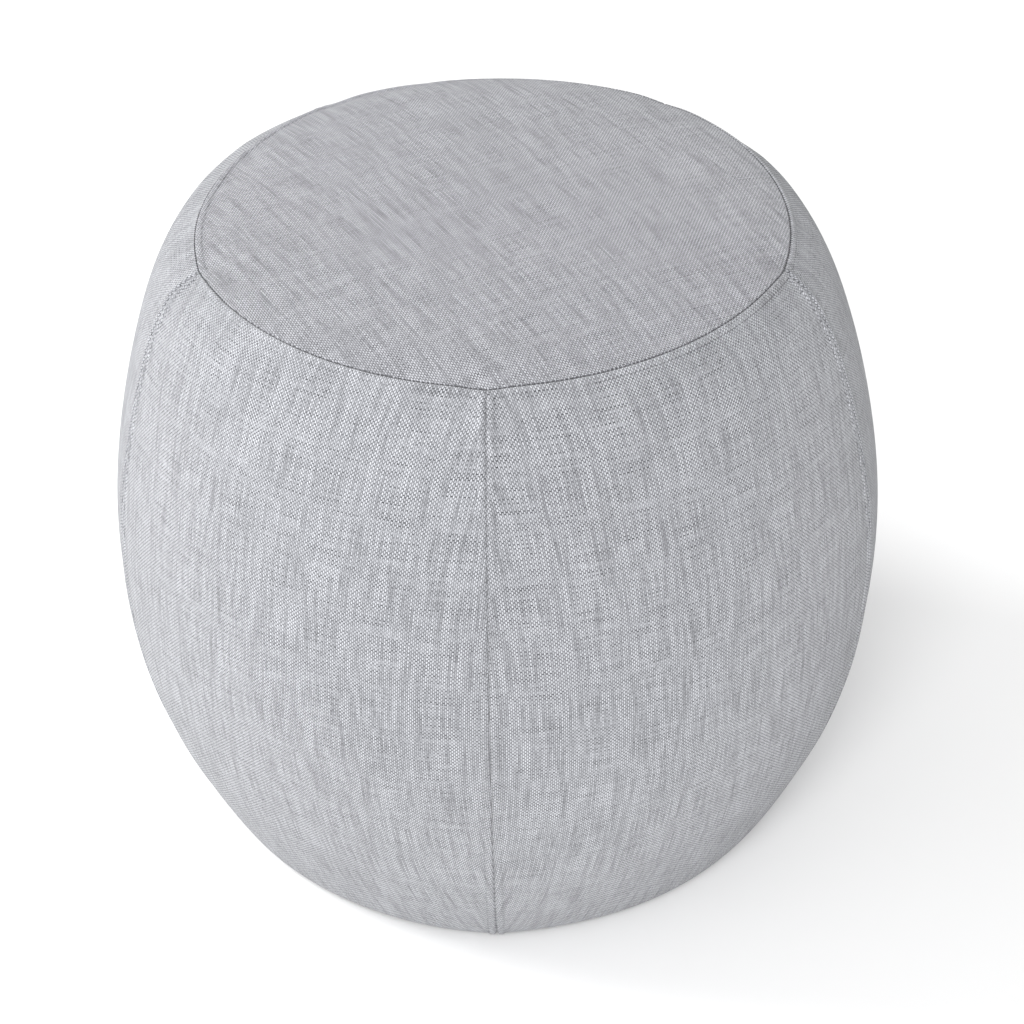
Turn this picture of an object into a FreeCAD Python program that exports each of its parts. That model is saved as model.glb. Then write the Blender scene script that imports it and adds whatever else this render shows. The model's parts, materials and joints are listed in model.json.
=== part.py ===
import FreeCAD, Part
import math
import os

from FreeCAD import Vector

# Barrel-shaped pouf: a sewn cover of five side panels and a round top panel,
# pulled over wadding and foam and zipped to a base panel under a plywood board.
# Millimetres, +Z up, origin on the floor at the pouf's axis, front seam towards -Y.

# Outline of the cover, taken down the middle of a side panel
BELLY_RADIUS = 248.0
BELLY_HEIGHT = 210.0
SHOULDER_RADIUS = 205.0
SHOULDER_TURN_DEG = 20.6
TOP_SEAM_INSET = 64.0
TOP_SEAM_HEIGHT = 427.0
CROWN_RISE = 13.0
LOWER_ARC_RADIUS = 430.0
RIM_ARC_RADIUS = 12.5
RIM_CLEARANCE = 2.0

# Side panels: each is curved about an axis set back behind the pouf's own axis,
# so the panels meet in low ridges at their seams
PANEL_NAMES = ["front_right", "right", "back", "left", "front_left"]
PANEL_SET_BACK = 21.0
FRONT_SEAM_DEG = -90.0

# Layers
FABRIC = 1.2
WADDING = 8.0
LAYER_GAP = 0.2
SEAT_FOAM_EDGE = 55.0

# Zip round the base: its angles run anticlockwise seen from above
ZIP_WALL_GAP = 15.4
ZIP_START_DEG = 120.0
ZIP_END_DEG = 420.0
ZIP_HALF_GAP = 0.6
COIL_WIDTH = 2.8
COIL_HEIGHT = 2.0
TAPE_WIDTH = 14.4
TAPE_THICKNESS = 0.6
TAPE_OVERRUN = 4.0
HEM_STAND_BACK = 9.0
TAB_SIDE_GAP = 2.5
TAB_EDGE_GAP = 0.3
STOP_LENGTH = 3.3
STOP_INSET = 0.6
STOP_HEIGHT = 0.8

# Zip slider and pull
RUN_GAP = 0.3
SLIDER_LENGTH = 14.0
SLIDER_STOP_GAP = 1.1
SLIDER_PLATE = 1.3
SLIDER_LIP = 1.9
SLIDER_LIP_RISE = 1.8
SLIDER_BLADE = 0.6
SLIDER_TOP_HALF_WIDTH = 4.5
SLIDER_TOP_PLATE = 1.0
SLIDER_BOARD_GAP = 1.5
BRIDGE_WIDTH = 2.0
BRIDGE_LENGTH = 11.0
BRIDGE_POST = 1.7
BRIDGE_OPENING = 2.2
BRIDGE_BAR = 1.0
PULL_LENGTH = 26.0
PULL_WIDTH = 9.0
PULL_THICKNESS = 1.6
PULL_PIN_RADIUS = 0.7
PULL_BRIDGE_GAP = 0.3
PULL_HOLE_RADIUS = 2.0
PULL_HOLE_INSET = 4.5
PULL_FLOOR_GAP = 0.5

# Base board, glides and their fastenings
BOARD_OVERHANG = 7.0
BOARD_THICKNESS = 15.0
BOARD_TAPE_GAP = 0.5
BOARD_SIDE_GAP = 0.3
GLIDE_NAMES = ["front_right", "back_right", "back_left", "front_left"]
FIRST_GLIDE_DEG = -45.0
GLIDE_EDGE_GAP = 8.5
GLIDE_TOP_RADIUS = 20.0
GLIDE_FOOT_RADIUS = 17.0
GLIDE_EDGE_HEIGHT = 4.0
GLIDE_RECESS_RADIUS = 6.8
GLIDE_RECESS_DEPTH = 7.0
SCREW_RADIUS = 2.9
SCREW_HOLE_GAP = 0.4
SCREW_HEAD_RADIUS = 6.0
SCREW_HEAD_HEIGHT = 3.6
SCREW_TIP_GAP = 0.7
NUT_THREAD_GAP = 0.1
NUT_BARREL_RADIUS = 4.2
NUT_BARREL_LENGTH = 9.5
NUT_BARREL_GAP = 0.1
NUT_FLANGE_RADIUS = 9.5
NUT_FLANGE_THICKNESS = 1.3
NUT_POCKET_GAP = 0.5

# Reach of the cutting tools past the pieces that they trim
TRIM = 60.0

Z_AXIS = Vector(0, 0, 1)
ORIGIN = Vector(0, 0, 0)


def on_arc(centre, radius, degrees):
    """Point of a circle in the XZ plane."""
    angle = math.radians(degrees)
    return Vector(centre.x + radius * math.cos(angle), 0, centre.z + radius * math.sin(angle))


def arc(centre, radius, start, end):
    """Arc in the XZ plane between two angles."""
    middle = on_arc(centre, radius, (start + end) / 2)
    curve = Part.Arc(on_arc(centre, radius, start), middle, on_arc(centre, radius, end))
    return curve.toShape()


# Levels and radii worked out from the sizes above
PANEL_DEG = 360.0 / len(PANEL_NAMES)
GLIDE_STEP_DEG = 360.0 / len(GLIDE_NAMES)
TOP_SEAM_RADIUS = BELLY_RADIUS - TOP_SEAM_INSET
TOTAL_HEIGHT = TOP_SEAM_HEIGHT + CROWN_RISE
CROWN_RADIUS = (TOP_SEAM_RADIUS ** 2 + CROWN_RISE ** 2) / (2 * CROWN_RISE)
CROWN_CENTRE_Z = TOTAL_HEIGHT - CROWN_RADIUS
BASE_LEVEL = RIM_CLEARANCE + RIM_ARC_RADIUS
TAPE_LEVEL = BASE_LEVEL + FABRIC
BOARD_TOP = TAPE_LEVEL + BOARD_THICKNESS
WADDING_OUT = FABRIC + LAYER_GAP
WADDING_IN = WADDING_OUT + WADDING
FOAM_OUT = WADDING_IN + LAYER_GAP
FOAM_FOOT_LEVEL = TAPE_LEVEL + TAPE_THICKNESS + RUN_GAP
SEAT_FOAM_BOTTOM = TOP_SEAM_HEIGHT - SEAT_FOAM_EDGE


class SideProfile:
    """Arcs of the cover's side, from the top seam over the belly to the rolled rim."""

    def __init__(self):
        self.shoulder_deg = self.solve_shoulder()
        self.upper_radius = self.belly_arc_radius(self.shoulder_deg)
        self.upper = Vector(BELLY_RADIUS - self.upper_radius, 0, BELLY_HEIGHT)
        handover = on_arc(self.upper, self.upper_radius, self.shoulder_deg)
        self.shoulder = on_arc(handover, -SHOULDER_RADIUS, self.shoulder_deg)
        self.lower = Vector(BELLY_RADIUS - LOWER_ARC_RADIUS, 0, BELLY_HEIGHT)
        rim_reach = LOWER_ARC_RADIUS - RIM_ARC_RADIUS
        self.rim_deg = -math.degrees(math.asin((BELLY_HEIGHT - BASE_LEVEL) / rim_reach))
        self.rim = on_arc(self.lower, rim_reach, self.rim_deg)
        self.wall_radius = self.rim.x - RIM_ARC_RADIUS

    def belly_arc_radius(self, degrees):
        """Radius of the belly arc that brings the shoulder up to the top seam's height."""
        start = math.radians(degrees)
        end = math.radians(degrees + SHOULDER_TURN_DEG)
        shoulder_rise = SHOULDER_RADIUS * (math.sin(end) - math.sin(start))
        return (TOP_SEAM_HEIGHT - BELLY_HEIGHT - shoulder_rise) / math.sin(start)

    def seam_inset(self, degrees):
        """How far the top seam then lies inside the belly."""
        start = math.radians(degrees)
        end = math.radians(degrees + SHOULDER_TURN_DEG)
        belly_part = self.belly_arc_radius(degrees) * (1 - math.cos(start))
        return belly_part + SHOULDER_RADIUS * (math.cos(start) - math.cos(end))

    def solve_shoulder(self):
        """Angle at which the belly arc hands over to the shoulder, found by halving."""
        low, high = 0.1, 60.0
        for _ in range(60):
            middle = (low + high) / 2
            if self.seam_inset(middle) < TOP_SEAM_INSET:
                low = middle
            else:
                high = middle
        return (low + high) / 2

    def top_deg(self, inset):
        """Angle where the shoulder arc is clear above the crown."""
        seam_deg = self.shoulder_deg + SHOULDER_TURN_DEG
        return seam_deg + math.degrees((TRIM / 2 + inset) / SHOULDER_RADIUS)

    def top_point(self, inset):
        return on_arc(self.shoulder, SHOULDER_RADIUS - inset, self.top_deg(inset))

    def foot_deg(self, inset, level):
        """Angle of the inset lower arc at a level."""
        return -math.degrees(math.asin((BELLY_HEIGHT - level) / (LOWER_ARC_RADIUS - inset)))

    def side(self, inset, foot_deg):
        """Edges from above the crown down to an angle on the lower arc, inset by a depth."""
        return [
            arc(self.shoulder, SHOULDER_RADIUS - inset, self.top_deg(inset), self.shoulder_deg),
            arc(self.upper, self.upper_radius - inset, self.shoulder_deg, 0),
            arc(self.lower, LOWER_ARC_RADIUS - inset, 0, foot_deg),
        ]

    def rolled_rim(self, inset):
        """The roll under the edge, from the lower arc round to its inner wall."""
        return arc(self.rim, RIM_ARC_RADIUS - inset, self.rim_deg, -180)


PROFILE = SideProfile()

# The zip follows the rim's inner wall, and the base follows the zip
ZIP_RADIUS = PROFILE.wall_radius - ZIP_WALL_GAP
HEM_RADIUS = ZIP_RADIUS + HEM_STAND_BACK
BASE_PANEL_RADIUS = ZIP_RADIUS - HEM_STAND_BACK
TAPE_INNER_RADIUS = ZIP_RADIUS - ZIP_HALF_GAP - TAPE_WIDTH
BOARD_RADIUS = ZIP_RADIUS + BOARD_OVERHANG
BOARD_REBATE_RADIUS = TAPE_INNER_RADIUS - BOARD_TAPE_GAP
BOARD_REBATE = TAPE_THICKNESS + RUN_GAP + SLIDER_TOP_PLATE + SLIDER_BOARD_GAP
GLIDE_CIRCLE_RADIUS = BOARD_REBATE_RADIUS - GLIDE_EDGE_GAP - GLIDE_TOP_RADIUS


def along_zip(length):
    """Degrees that a length takes up along the zip."""
    return math.degrees(length / ZIP_RADIUS)


# The slider rests at the start of the zip and runs to its end
SLIDER_END_DEG = along_zip(STOP_INSET + STOP_LENGTH + SLIDER_STOP_GAP + SLIDER_LENGTH / 2)
SLIDER_REST_DEG = ZIP_START_DEG + SLIDER_END_DEG
SLIDER_LAST_DEG = ZIP_END_DEG - SLIDER_END_DEG
SLIDER_PLATE_TOP = TAPE_LEVEL - COIL_HEIGHT - RUN_GAP
SLIDER_PLATE_LOW = SLIDER_PLATE_TOP - SLIDER_PLATE
PULL_PIN_LEVEL = SLIDER_PLATE_LOW - BRIDGE_OPENING / 2


def save(shape, node):
    """Write one piece to its own file."""
    if not shape.isValid():
        raise ValueError(node + " is not a valid solid")
    shape.exportStep("parts/" + node + ".step")
    print(node, len(shape.Solids), "solids", round(shape.Volume / 1000, 2), "cm3")


def turned(shape, degrees):
    """A copy of the shape turned about the pouf's axis."""
    copy = shape.copy()
    copy.rotate(ORIGIN, Z_AXIS, degrees)
    return copy


def line(first, last):
    return Part.LineSegment(first, last).toShape()


def section(points):
    """Flat polygon in the XZ plane from (radius, height) pairs."""
    corners = [Vector(r, 0, z) for r, z in points]
    return Part.Face(Part.makePolygon(corners + corners[:1]))


def box_section(r_low, r_high, z_low, z_high):
    return section([(r_low, z_low), (r_high, z_low), (r_high, z_high), (r_low, z_high)])


def ring(face, start, end):
    """Sweep a section about the pouf's axis from one angle to another."""
    return turned(face, start).revolve(ORIGIN, Z_AXIS, end - start)


def tube(radius, z_low, z_high, x=0.0, y=0.0):
    return Part.makeCylinder(radius, z_high - z_low, Vector(x, y, z_low))


def panel_middle(index):
    """Direction of a side panel's middle line."""
    return FRONT_SEAM_DEG + PANEL_DEG * (index + 0.5)


def panel_wedge():
    """The sector that one side panel fills, with its middle along +X."""
    reach = 2 * BELLY_RADIUS
    half = math.radians(PANEL_DEG / 2)
    right = Vector(reach * math.cos(half), -reach * math.sin(half), 0)
    left = Vector(reach * math.cos(half), reach * math.sin(half), 0)
    floor = Part.Face(Part.makePolygon([ORIGIN, right, left, ORIGIN]))
    prism = floor.extrude(Vector(0, 0, TOTAL_HEIGHT + 2 * TRIM))
    prism.translate(Vector(0, 0, -TRIM))
    return prism


def panel_sector(edges):
    """Sweep a closed section about the set-back axis and trim it to one panel's sector."""
    face = Part.Face(Part.Wire(Part.__sortEdges__(edges)))
    axis_point = Vector(-PANEL_SET_BACK, 0, 0)
    face.rotate(axis_point, Z_AXIS, -PANEL_DEG / 2)
    return face.revolve(axis_point, Z_AXIS, PANEL_DEG).common(panel_wedge())


def all_round(sector):
    """Join copies of one sector into a whole ring or body."""
    copies = [turned(sector, panel_middle(index)) for index in range(len(PANEL_NAMES))]
    return copies[0].multiFuse(copies[1:]).removeSplitter()


def under_crown(inset):
    """Everything under the crown's sphere, inset by a depth."""
    return Part.makeSphere(CROWN_RADIUS - inset, Vector(0, 0, CROWN_CENTRE_Z))


def envelope(inset, level):
    """The barrel inside the side panels, inset by a depth and standing at a level."""
    foot = PROFILE.foot_deg(inset, level)
    low = on_arc(PROFILE.lower, LOWER_ARC_RADIUS - inset, foot)
    top = PROFILE.top_point(inset)
    axis_low = Vector(-PANEL_SET_BACK, 0, level)
    axis_top = Vector(-PANEL_SET_BACK, 0, top.z)
    edges = PROFILE.side(inset, foot)
    edges += [line(low, axis_low), line(axis_low, axis_top), line(axis_top, top)]
    return all_round(panel_sector(edges))


def crown_layer(outer, inner):
    """A domed sheet between two depths under the crown, cut to the barrel's outline."""
    sheet = under_crown(outer).cut(under_crown(inner))
    return envelope(outer, BASE_LEVEL).common(sheet)


def side_panel():
    """One side panel with its rolled rim and the flat hem that the zip is sewn to."""
    wall = PROFILE.wall_radius
    hem_end = BASE_PANEL_RADIUS
    edges = PROFILE.side(0, PROFILE.rim_deg) + [PROFILE.rolled_rim(0)]
    hem = [
        Vector(wall, 0, BASE_LEVEL),
        Vector(hem_end, 0, BASE_LEVEL),
        Vector(hem_end, 0, TAPE_LEVEL),
        Vector(wall + FABRIC, 0, TAPE_LEVEL),
        Vector(wall + FABRIC, 0, BASE_LEVEL),
    ]
    edges += [line(first, last) for first, last in zip(hem, hem[1:])]
    edges += [PROFILE.rolled_rim(FABRIC)] + PROFILE.side(FABRIC, PROFILE.rim_deg)
    edges += [line(PROFILE.top_point(0), PROFILE.top_point(FABRIC))]
    cloth = panel_sector(edges).common(under_crown(FABRIC + LAYER_GAP))
    return cloth.cut(tube(HEM_RADIUS, 0, TAPE_LEVEL + TRIM))


def side_wadding():
    """Wadding round the sides, filling the rolled rim under the foam."""
    foot = PROFILE.foot_deg(WADDING_IN, FOAM_FOOT_LEVEL - LAYER_GAP)
    low_in = on_arc(PROFILE.lower, LOWER_ARC_RADIUS - WADDING_IN, foot)
    wall = PROFILE.wall_radius + WADDING_OUT
    wall_low = Vector(wall, 0, BASE_LEVEL)
    wall_high = Vector(wall, 0, low_in.z)
    edges = PROFILE.side(WADDING_OUT, PROFILE.rim_deg) + [PROFILE.rolled_rim(WADDING_OUT)]
    edges += [line(wall_low, wall_high), line(wall_high, low_in)]
    edges += PROFILE.side(WADDING_IN, foot)
    edges += [line(PROFILE.top_point(WADDING_OUT), PROFILE.top_point(WADDING_IN))]
    return all_round(panel_sector(edges).common(under_crown(FOAM_OUT)))


def glide_places():
    """Centre of each glide."""
    places = []
    for index in range(len(GLIDE_NAMES)):
        angle = math.radians(FIRST_GLIDE_DEG + GLIDE_STEP_DEG * index)
        places.append((GLIDE_CIRCLE_RADIUS * math.cos(angle), GLIDE_CIRCLE_RADIUS * math.sin(angle)))
    return places


def drilled(shape, radius, z_low, z_high):
    """Cut a hole at each glide's place."""
    for x, y in glide_places():
        shape = shape.cut(tube(radius, z_low, z_high, x, y))
    return shape


def base_panel():
    """Base cloth, with the tab at the back that stays sewn to the side panels' hem."""
    disc = tube(BASE_PANEL_RADIUS, BASE_LEVEL, TAPE_LEVEL)
    tab_section = box_section(TAPE_INNER_RADIUS, HEM_RADIUS - TAB_EDGE_GAP, BASE_LEVEL, TAPE_LEVEL)
    margin = along_zip(TAPE_OVERRUN + TAB_SIDE_GAP)
    tab = ring(tab_section, ZIP_END_DEG - 360 + margin, ZIP_START_DEG - margin)
    cloth = disc.fuse(tab).removeSplitter()
    return drilled(cloth, SCREW_RADIUS + SCREW_HOLE_GAP, BASE_LEVEL, TAPE_LEVEL)


def base_board():
    """Plywood disc, rebated underneath to leave room for the zip."""
    disc = tube(BOARD_RADIUS, TAPE_LEVEL + BOARD_REBATE, BOARD_TOP)
    foot = tube(BOARD_REBATE_RADIUS, TAPE_LEVEL, TAPE_LEVEL + BOARD_REBATE)
    board = disc.fuse(foot).removeSplitter()
    return drilled(board, NUT_BARREL_RADIUS + NUT_BARREL_GAP, TAPE_LEVEL, BOARD_TOP)


def core_foam(barrel):
    """Firm foam body, hollowed underneath for the board and the nuts' flanges."""
    seat = tube(2 * BELLY_RADIUS, SEAT_FOAM_BOTTOM, TOTAL_HEIGHT + TRIM)
    board_pocket = tube(BOARD_RADIUS + BOARD_SIDE_GAP, FOAM_FOOT_LEVEL - TRIM, BOARD_TOP)
    body = barrel.cut(seat).cut(board_pocket)
    pocket_top = BOARD_TOP + NUT_FLANGE_THICKNESS + NUT_POCKET_GAP
    return drilled(body, NUT_FLANGE_RADIUS + NUT_POCKET_GAP, BOARD_TOP, pocket_top)


def seat_foam(barrel):
    """Softer crowned foam on top of the core."""
    return barrel.cut(tube(2 * BELLY_RADIUS, -TRIM, SEAT_FOAM_BOTTOM))


def glide(x, y):
    """Plastic foot with a narrowed sole and a recess for its screw's head."""
    body = tube(GLIDE_TOP_RADIUS, GLIDE_EDGE_HEIGHT, BASE_LEVEL, x, y)
    sole = Part.makeCone(GLIDE_FOOT_RADIUS, GLIDE_TOP_RADIUS, GLIDE_EDGE_HEIGHT, Vector(x, y, 0))
    recess = tube(GLIDE_RECESS_RADIUS, 0, GLIDE_RECESS_DEPTH, x, y)
    screw_hole = tube(SCREW_RADIUS + SCREW_HOLE_GAP, GLIDE_RECESS_DEPTH, BASE_LEVEL, x, y)
    return body.fuse(sole).cut(recess).cut(screw_hole)


def glide_screw(x, y):
    """Screw from the glide's recess up into the tee nut."""
    head_low = GLIDE_RECESS_DEPTH - SCREW_HEAD_HEIGHT
    head = tube(SCREW_HEAD_RADIUS, head_low, GLIDE_RECESS_DEPTH, x, y)
    shank = tube(SCREW_RADIUS, GLIDE_RECESS_DEPTH, BOARD_TOP - SCREW_TIP_GAP, x, y)
    return head.fuse(shank)


def tee_nut(x, y):
    """Tee nut pressed into the board from above."""
    flange_top = BOARD_TOP + NUT_FLANGE_THICKNESS
    barrel_low = BOARD_TOP - NUT_BARREL_LENGTH
    flange = tube(NUT_FLANGE_RADIUS, BOARD_TOP, flange_top, x, y)
    barrel = tube(NUT_BARREL_RADIUS, barrel_low, BOARD_TOP, x, y)
    thread = tube(SCREW_RADIUS + NUT_THREAD_GAP, barrel_low, flange_top, x, y)
    return flange.fuse(barrel).cut(thread)


def zip_tape(r_low, r_high):
    face = box_section(r_low, r_high, TAPE_LEVEL, TAPE_LEVEL + TAPE_THICKNESS)
    overrun = along_zip(TAPE_OVERRUN)
    return ring(face, ZIP_START_DEG - overrun, ZIP_END_DEG + overrun)


def zip_coil(r_low):
    face = box_section(r_low, r_low + COIL_WIDTH, TAPE_LEVEL - COIL_HEIGHT, TAPE_LEVEL)
    return ring(face, ZIP_START_DEG, ZIP_END_DEG)


def zip_stops():
    """A clip across both coils at each end of the zip."""
    reach = ZIP_HALF_GAP + COIL_WIDTH
    high = TAPE_LEVEL - COIL_HEIGHT
    face = box_section(ZIP_RADIUS - reach, ZIP_RADIUS + reach, high - STOP_HEIGHT, high)
    near = along_zip(STOP_INSET)
    far = along_zip(STOP_INSET + STOP_LENGTH)
    first = ring(face, ZIP_START_DEG + near, ZIP_START_DEG + far)
    last = ring(face, ZIP_END_DEG - far, ZIP_END_DEG - near)
    return Part.makeCompound([first, last])


def zip_slider():
    """Slider round both coils, with a thin blade between them and a bridge for the pull."""
    lip_in = ZIP_HALF_GAP + COIL_WIDTH + RUN_GAP
    lip_out = lip_in + SLIDER_LIP
    lip_top = SLIDER_PLATE_TOP + SLIDER_LIP_RISE
    blade = SLIDER_BLADE / 2
    cap_low = TAPE_LEVEL + TAPE_THICKNESS + RUN_GAP
    right = [
        (lip_out, SLIDER_PLATE_LOW),
        (lip_out, lip_top),
        (lip_in, lip_top),
        (lip_in, SLIDER_PLATE_TOP),
        (blade, SLIDER_PLATE_TOP),
        (blade, cap_low),
        (SLIDER_TOP_HALF_WIDTH, cap_low),
        (SLIDER_TOP_HALF_WIDTH, cap_low + SLIDER_TOP_PLATE),
    ]
    left = [(-r, z) for r, z in reversed(right)]
    face = section([(ZIP_RADIUS + r, z) for r, z in right + left])
    body = slider_stretch(face, SLIDER_LENGTH)
    r_low = ZIP_RADIUS - BRIDGE_WIDTH / 2
    r_high = ZIP_RADIUS + BRIDGE_WIDTH / 2
    hole_low = SLIDER_PLATE_LOW - BRIDGE_OPENING
    arch_face = box_section(r_low, r_high, hole_low - BRIDGE_BAR, SLIDER_PLATE_LOW)
    hole_face = box_section(r_low, r_high, hole_low, SLIDER_PLATE_LOW)
    hole = slider_stretch(hole_face, BRIDGE_LENGTH - 2 * BRIDGE_POST)
    bridge = slider_stretch(arch_face, BRIDGE_LENGTH).cut(hole)
    return body.fuse(bridge).removeSplitter()


def slider_stretch(face, length):
    """Sweep a section along the zip, half its length either side of the slider's middle."""
    half = along_zip(length / 2)
    return ring(face, SLIDER_REST_DEG - half, SLIDER_REST_DEG + half)


def pull_droop():
    """Angle at which the pull hangs with its tip just off the floor."""
    reach = math.hypot(PULL_LENGTH, PULL_THICKNESS / 2)
    lean = math.asin((PULL_PIN_LEVEL - PULL_FLOOR_GAP) / reach)
    return math.degrees(lean - math.atan2(PULL_THICKNESS / 2, PULL_LENGTH))


def zip_pull():
    """Flat pull tab whose pin turns under the slider's bridge."""
    half_width = PULL_WIDTH / 2
    half_thick = PULL_THICKNESS / 2
    straight = PULL_LENGTH - half_width
    plate = Part.makeBox(straight, PULL_WIDTH, PULL_THICKNESS, Vector(0, -half_width, -half_thick))
    tip = Part.makeCylinder(half_width, PULL_THICKNESS, Vector(straight, 0, -half_thick))
    bridge_reach = math.hypot(BRIDGE_LENGTH / 2, BRIDGE_OPENING / 2 + BRIDGE_BAR)
    window_end = bridge_reach + 2 * PULL_BRIDGE_GAP
    window_half = BRIDGE_WIDTH / 2 + PULL_BRIDGE_GAP
    window_corner = Vector(-half_width, -window_half, -half_thick)
    window = Part.makeBox(window_end + half_width, 2 * window_half, PULL_THICKNESS, window_corner)
    hole_centre = Vector(PULL_LENGTH - PULL_HOLE_INSET, 0, -half_thick)
    hole = Part.makeCylinder(PULL_HOLE_RADIUS, PULL_THICKNESS, hole_centre)
    pin = Part.makeCylinder(PULL_PIN_RADIUS, PULL_WIDTH, Vector(0, -half_width, 0), Vector(0, 1, 0))
    shape = plate.fuse(tip).cut(window).cut(hole).fuse(pin).removeSplitter()
    shape.rotate(ORIGIN, Vector(0, 1, 0), pull_droop())
    shape.rotate(ORIGIN, Z_AXIS, 90)
    shape.translate(Vector(ZIP_RADIUS, 0, PULL_PIN_LEVEL))
    return turned(shape, SLIDER_REST_DEG)


def cover():
    """Top panel, side panels and base panel."""
    save(crown_layer(0, FABRIC), "top_panel")
    cloth = side_panel()
    for index, name in enumerate(PANEL_NAMES):
        save(turned(cloth, panel_middle(index)), "side_panel_" + name)
    save(base_panel(), "base_panel")


def filling():
    """Wadding and foam."""
    save(crown_layer(WADDING_OUT, WADDING_IN), "top_wadding")
    save(side_wadding(), "side_wadding")
    barrel = envelope(FOAM_OUT, FOAM_FOOT_LEVEL).common(under_crown(FOAM_OUT))
    save(seat_foam(barrel), "seat_foam")
    save(core_foam(barrel), "core_foam")


def base():
    """Board, glides and their fastenings."""
    save(base_board(), "base_board")
    places = glide_places()
    for name, (x, y) in zip(GLIDE_NAMES, places):
        save(glide(x, y), "glide_" + name)
    save(Part.makeCompound([glide_screw(x, y) for x, y in places]), "glide_screws")
    save(Part.makeCompound([tee_nut(x, y) for x, y in places]), "tee_nuts")


def zip_closure():
    """Zip between the side panels' hem and the base panel."""
    slit_in = ZIP_RADIUS - ZIP_HALF_GAP
    slit_out = ZIP_RADIUS + ZIP_HALF_GAP
    save(zip_tape(slit_out, slit_out + TAPE_WIDTH), "zip_tape_outer")
    save(zip_tape(TAPE_INNER_RADIUS, slit_in), "zip_tape_inner")
    save(zip_coil(slit_out), "zip_coil_outer")
    save(zip_coil(slit_in - COIL_WIDTH), "zip_coil_inner")
    save(zip_stops(), "zip_stops")
    save(zip_slider(), "zip_slider")
    save(zip_pull(), "zip_pull")


def print_joints():
    """Places and ranges of the moving pieces, and the glides' centres."""
    angle = math.radians(SLIDER_REST_DEG)
    pin = [ZIP_RADIUS * math.cos(angle), ZIP_RADIUS * math.sin(angle), PULL_PIN_LEVEL]
    print("slider rests at", round(SLIDER_REST_DEG, 4), "degrees")
    print("slider travels", round(SLIDER_LAST_DEG - SLIDER_REST_DEG, 4), "degrees")
    print("pull pin at", [round(value, 4) for value in pin])
    print("pull droops", round(pull_droop(), 4), "degrees")
    print("glides at", [(round(x, 4), round(y, 4)) for x, y in glide_places()])


os.makedirs("parts", exist_ok=True)
cover()
filling()
base()
zip_closure()
print_joints()
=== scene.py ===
import json
import math

import bpy
import numpy as np
from mathutils import Matrix, Vector, noise


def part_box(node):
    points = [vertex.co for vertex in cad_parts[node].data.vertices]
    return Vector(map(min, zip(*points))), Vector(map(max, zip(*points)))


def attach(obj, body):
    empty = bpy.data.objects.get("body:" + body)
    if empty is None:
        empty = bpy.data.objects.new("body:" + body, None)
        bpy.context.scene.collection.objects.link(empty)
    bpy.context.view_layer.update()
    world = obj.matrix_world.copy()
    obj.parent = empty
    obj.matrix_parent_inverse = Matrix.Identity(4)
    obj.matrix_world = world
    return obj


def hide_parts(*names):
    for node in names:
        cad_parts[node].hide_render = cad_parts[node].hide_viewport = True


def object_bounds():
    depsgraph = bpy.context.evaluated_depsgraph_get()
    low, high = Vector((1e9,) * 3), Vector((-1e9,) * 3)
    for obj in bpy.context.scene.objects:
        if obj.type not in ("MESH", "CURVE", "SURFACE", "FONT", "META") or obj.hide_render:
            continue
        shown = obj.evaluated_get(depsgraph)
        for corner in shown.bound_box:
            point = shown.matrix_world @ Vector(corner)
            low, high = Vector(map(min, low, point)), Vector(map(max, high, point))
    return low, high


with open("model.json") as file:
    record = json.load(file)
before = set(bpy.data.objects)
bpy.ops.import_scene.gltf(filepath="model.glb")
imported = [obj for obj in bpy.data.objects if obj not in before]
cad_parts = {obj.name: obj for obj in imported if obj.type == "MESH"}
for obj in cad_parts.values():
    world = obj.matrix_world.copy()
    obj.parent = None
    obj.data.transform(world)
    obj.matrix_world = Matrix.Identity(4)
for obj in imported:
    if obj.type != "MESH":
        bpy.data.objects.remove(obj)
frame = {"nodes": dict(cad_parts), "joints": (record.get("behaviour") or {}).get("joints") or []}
cad_low, cad_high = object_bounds()

# Barrel-shaped pouf in a grey melange weave: five side panels and a round top panel
# over wadding and foam, zipped to a base cloth under a plywood board. Metres, +Z up,
# the front seam towards -Y.

# Outline of the cover down the middle of a side panel
BELLY_RADIUS = 0.248
BELLY_HEIGHT = 0.210
UPPER_ARC_RADIUS = 0.450
UPPER_ARC_DEG = 20.0
TOP_SEAM_RADIUS = 0.184
TOP_SEAM_HEIGHT = 0.427
LOWER_ARC_RADIUS = 0.430
RIM_ARC_RADIUS = 0.0125
HEM_FILLET = 0.002
HEM_RADIUS = 0.168
ARC_STEPS = 160

# Side panels, curved about an axis set back behind the pouf's own
PANEL_MIDDLES = {"front_right": -54, "right": 18, "back": 90, "left": 162, "front_left": 234}
PANEL_DEG = 72.0
PANEL_SET_BACK = 0.021

# Cloth of the cover and its seams
FABRIC = 0.0012
CLOTH_STEP = 0.0042
RIM_STEP = 0.0016
TOP_STEP_DEG = 0.9
SEAM_FINE = np.array([0.0, 0.2, 0.45, 0.75, 1.2, 2.2, 3.6, 4.8, 5.2, 5.6, 6.0, 8.0, 11.0]) / 1000
SEWN_REACH = 0.003
CREASE_DEPTH = 0.0011
CREASE_WIDTH = 0.00045
SIDE_CREASE_SHARE = 0.65
RIDGE_SPAN = (CREASE_WIDTH * 0.5, CREASE_WIDTH * 4)
ALLOWANCE = 0.0052
ALLOWANCE_MARK = 0.0011
ALLOWANCE_MARK_WIDTH = 0.0004
ALLOWANCE_RISE = 0.0010
ALLOWANCE_EASE = 0.0010
SEAM_ALLOWANCE_CUT = 0.012
TOP_GRAIN_DEG = 31.0

# Directions over which the top seam's allowance lies under the top, not under the sides
UNDER_TOP_FROM_DEG = 100.0
UNDER_TOP_EASE_IN = (0.0, 12.0)
UNDER_TOP_EASE_OUT = (96.0, 110.0)

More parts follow.
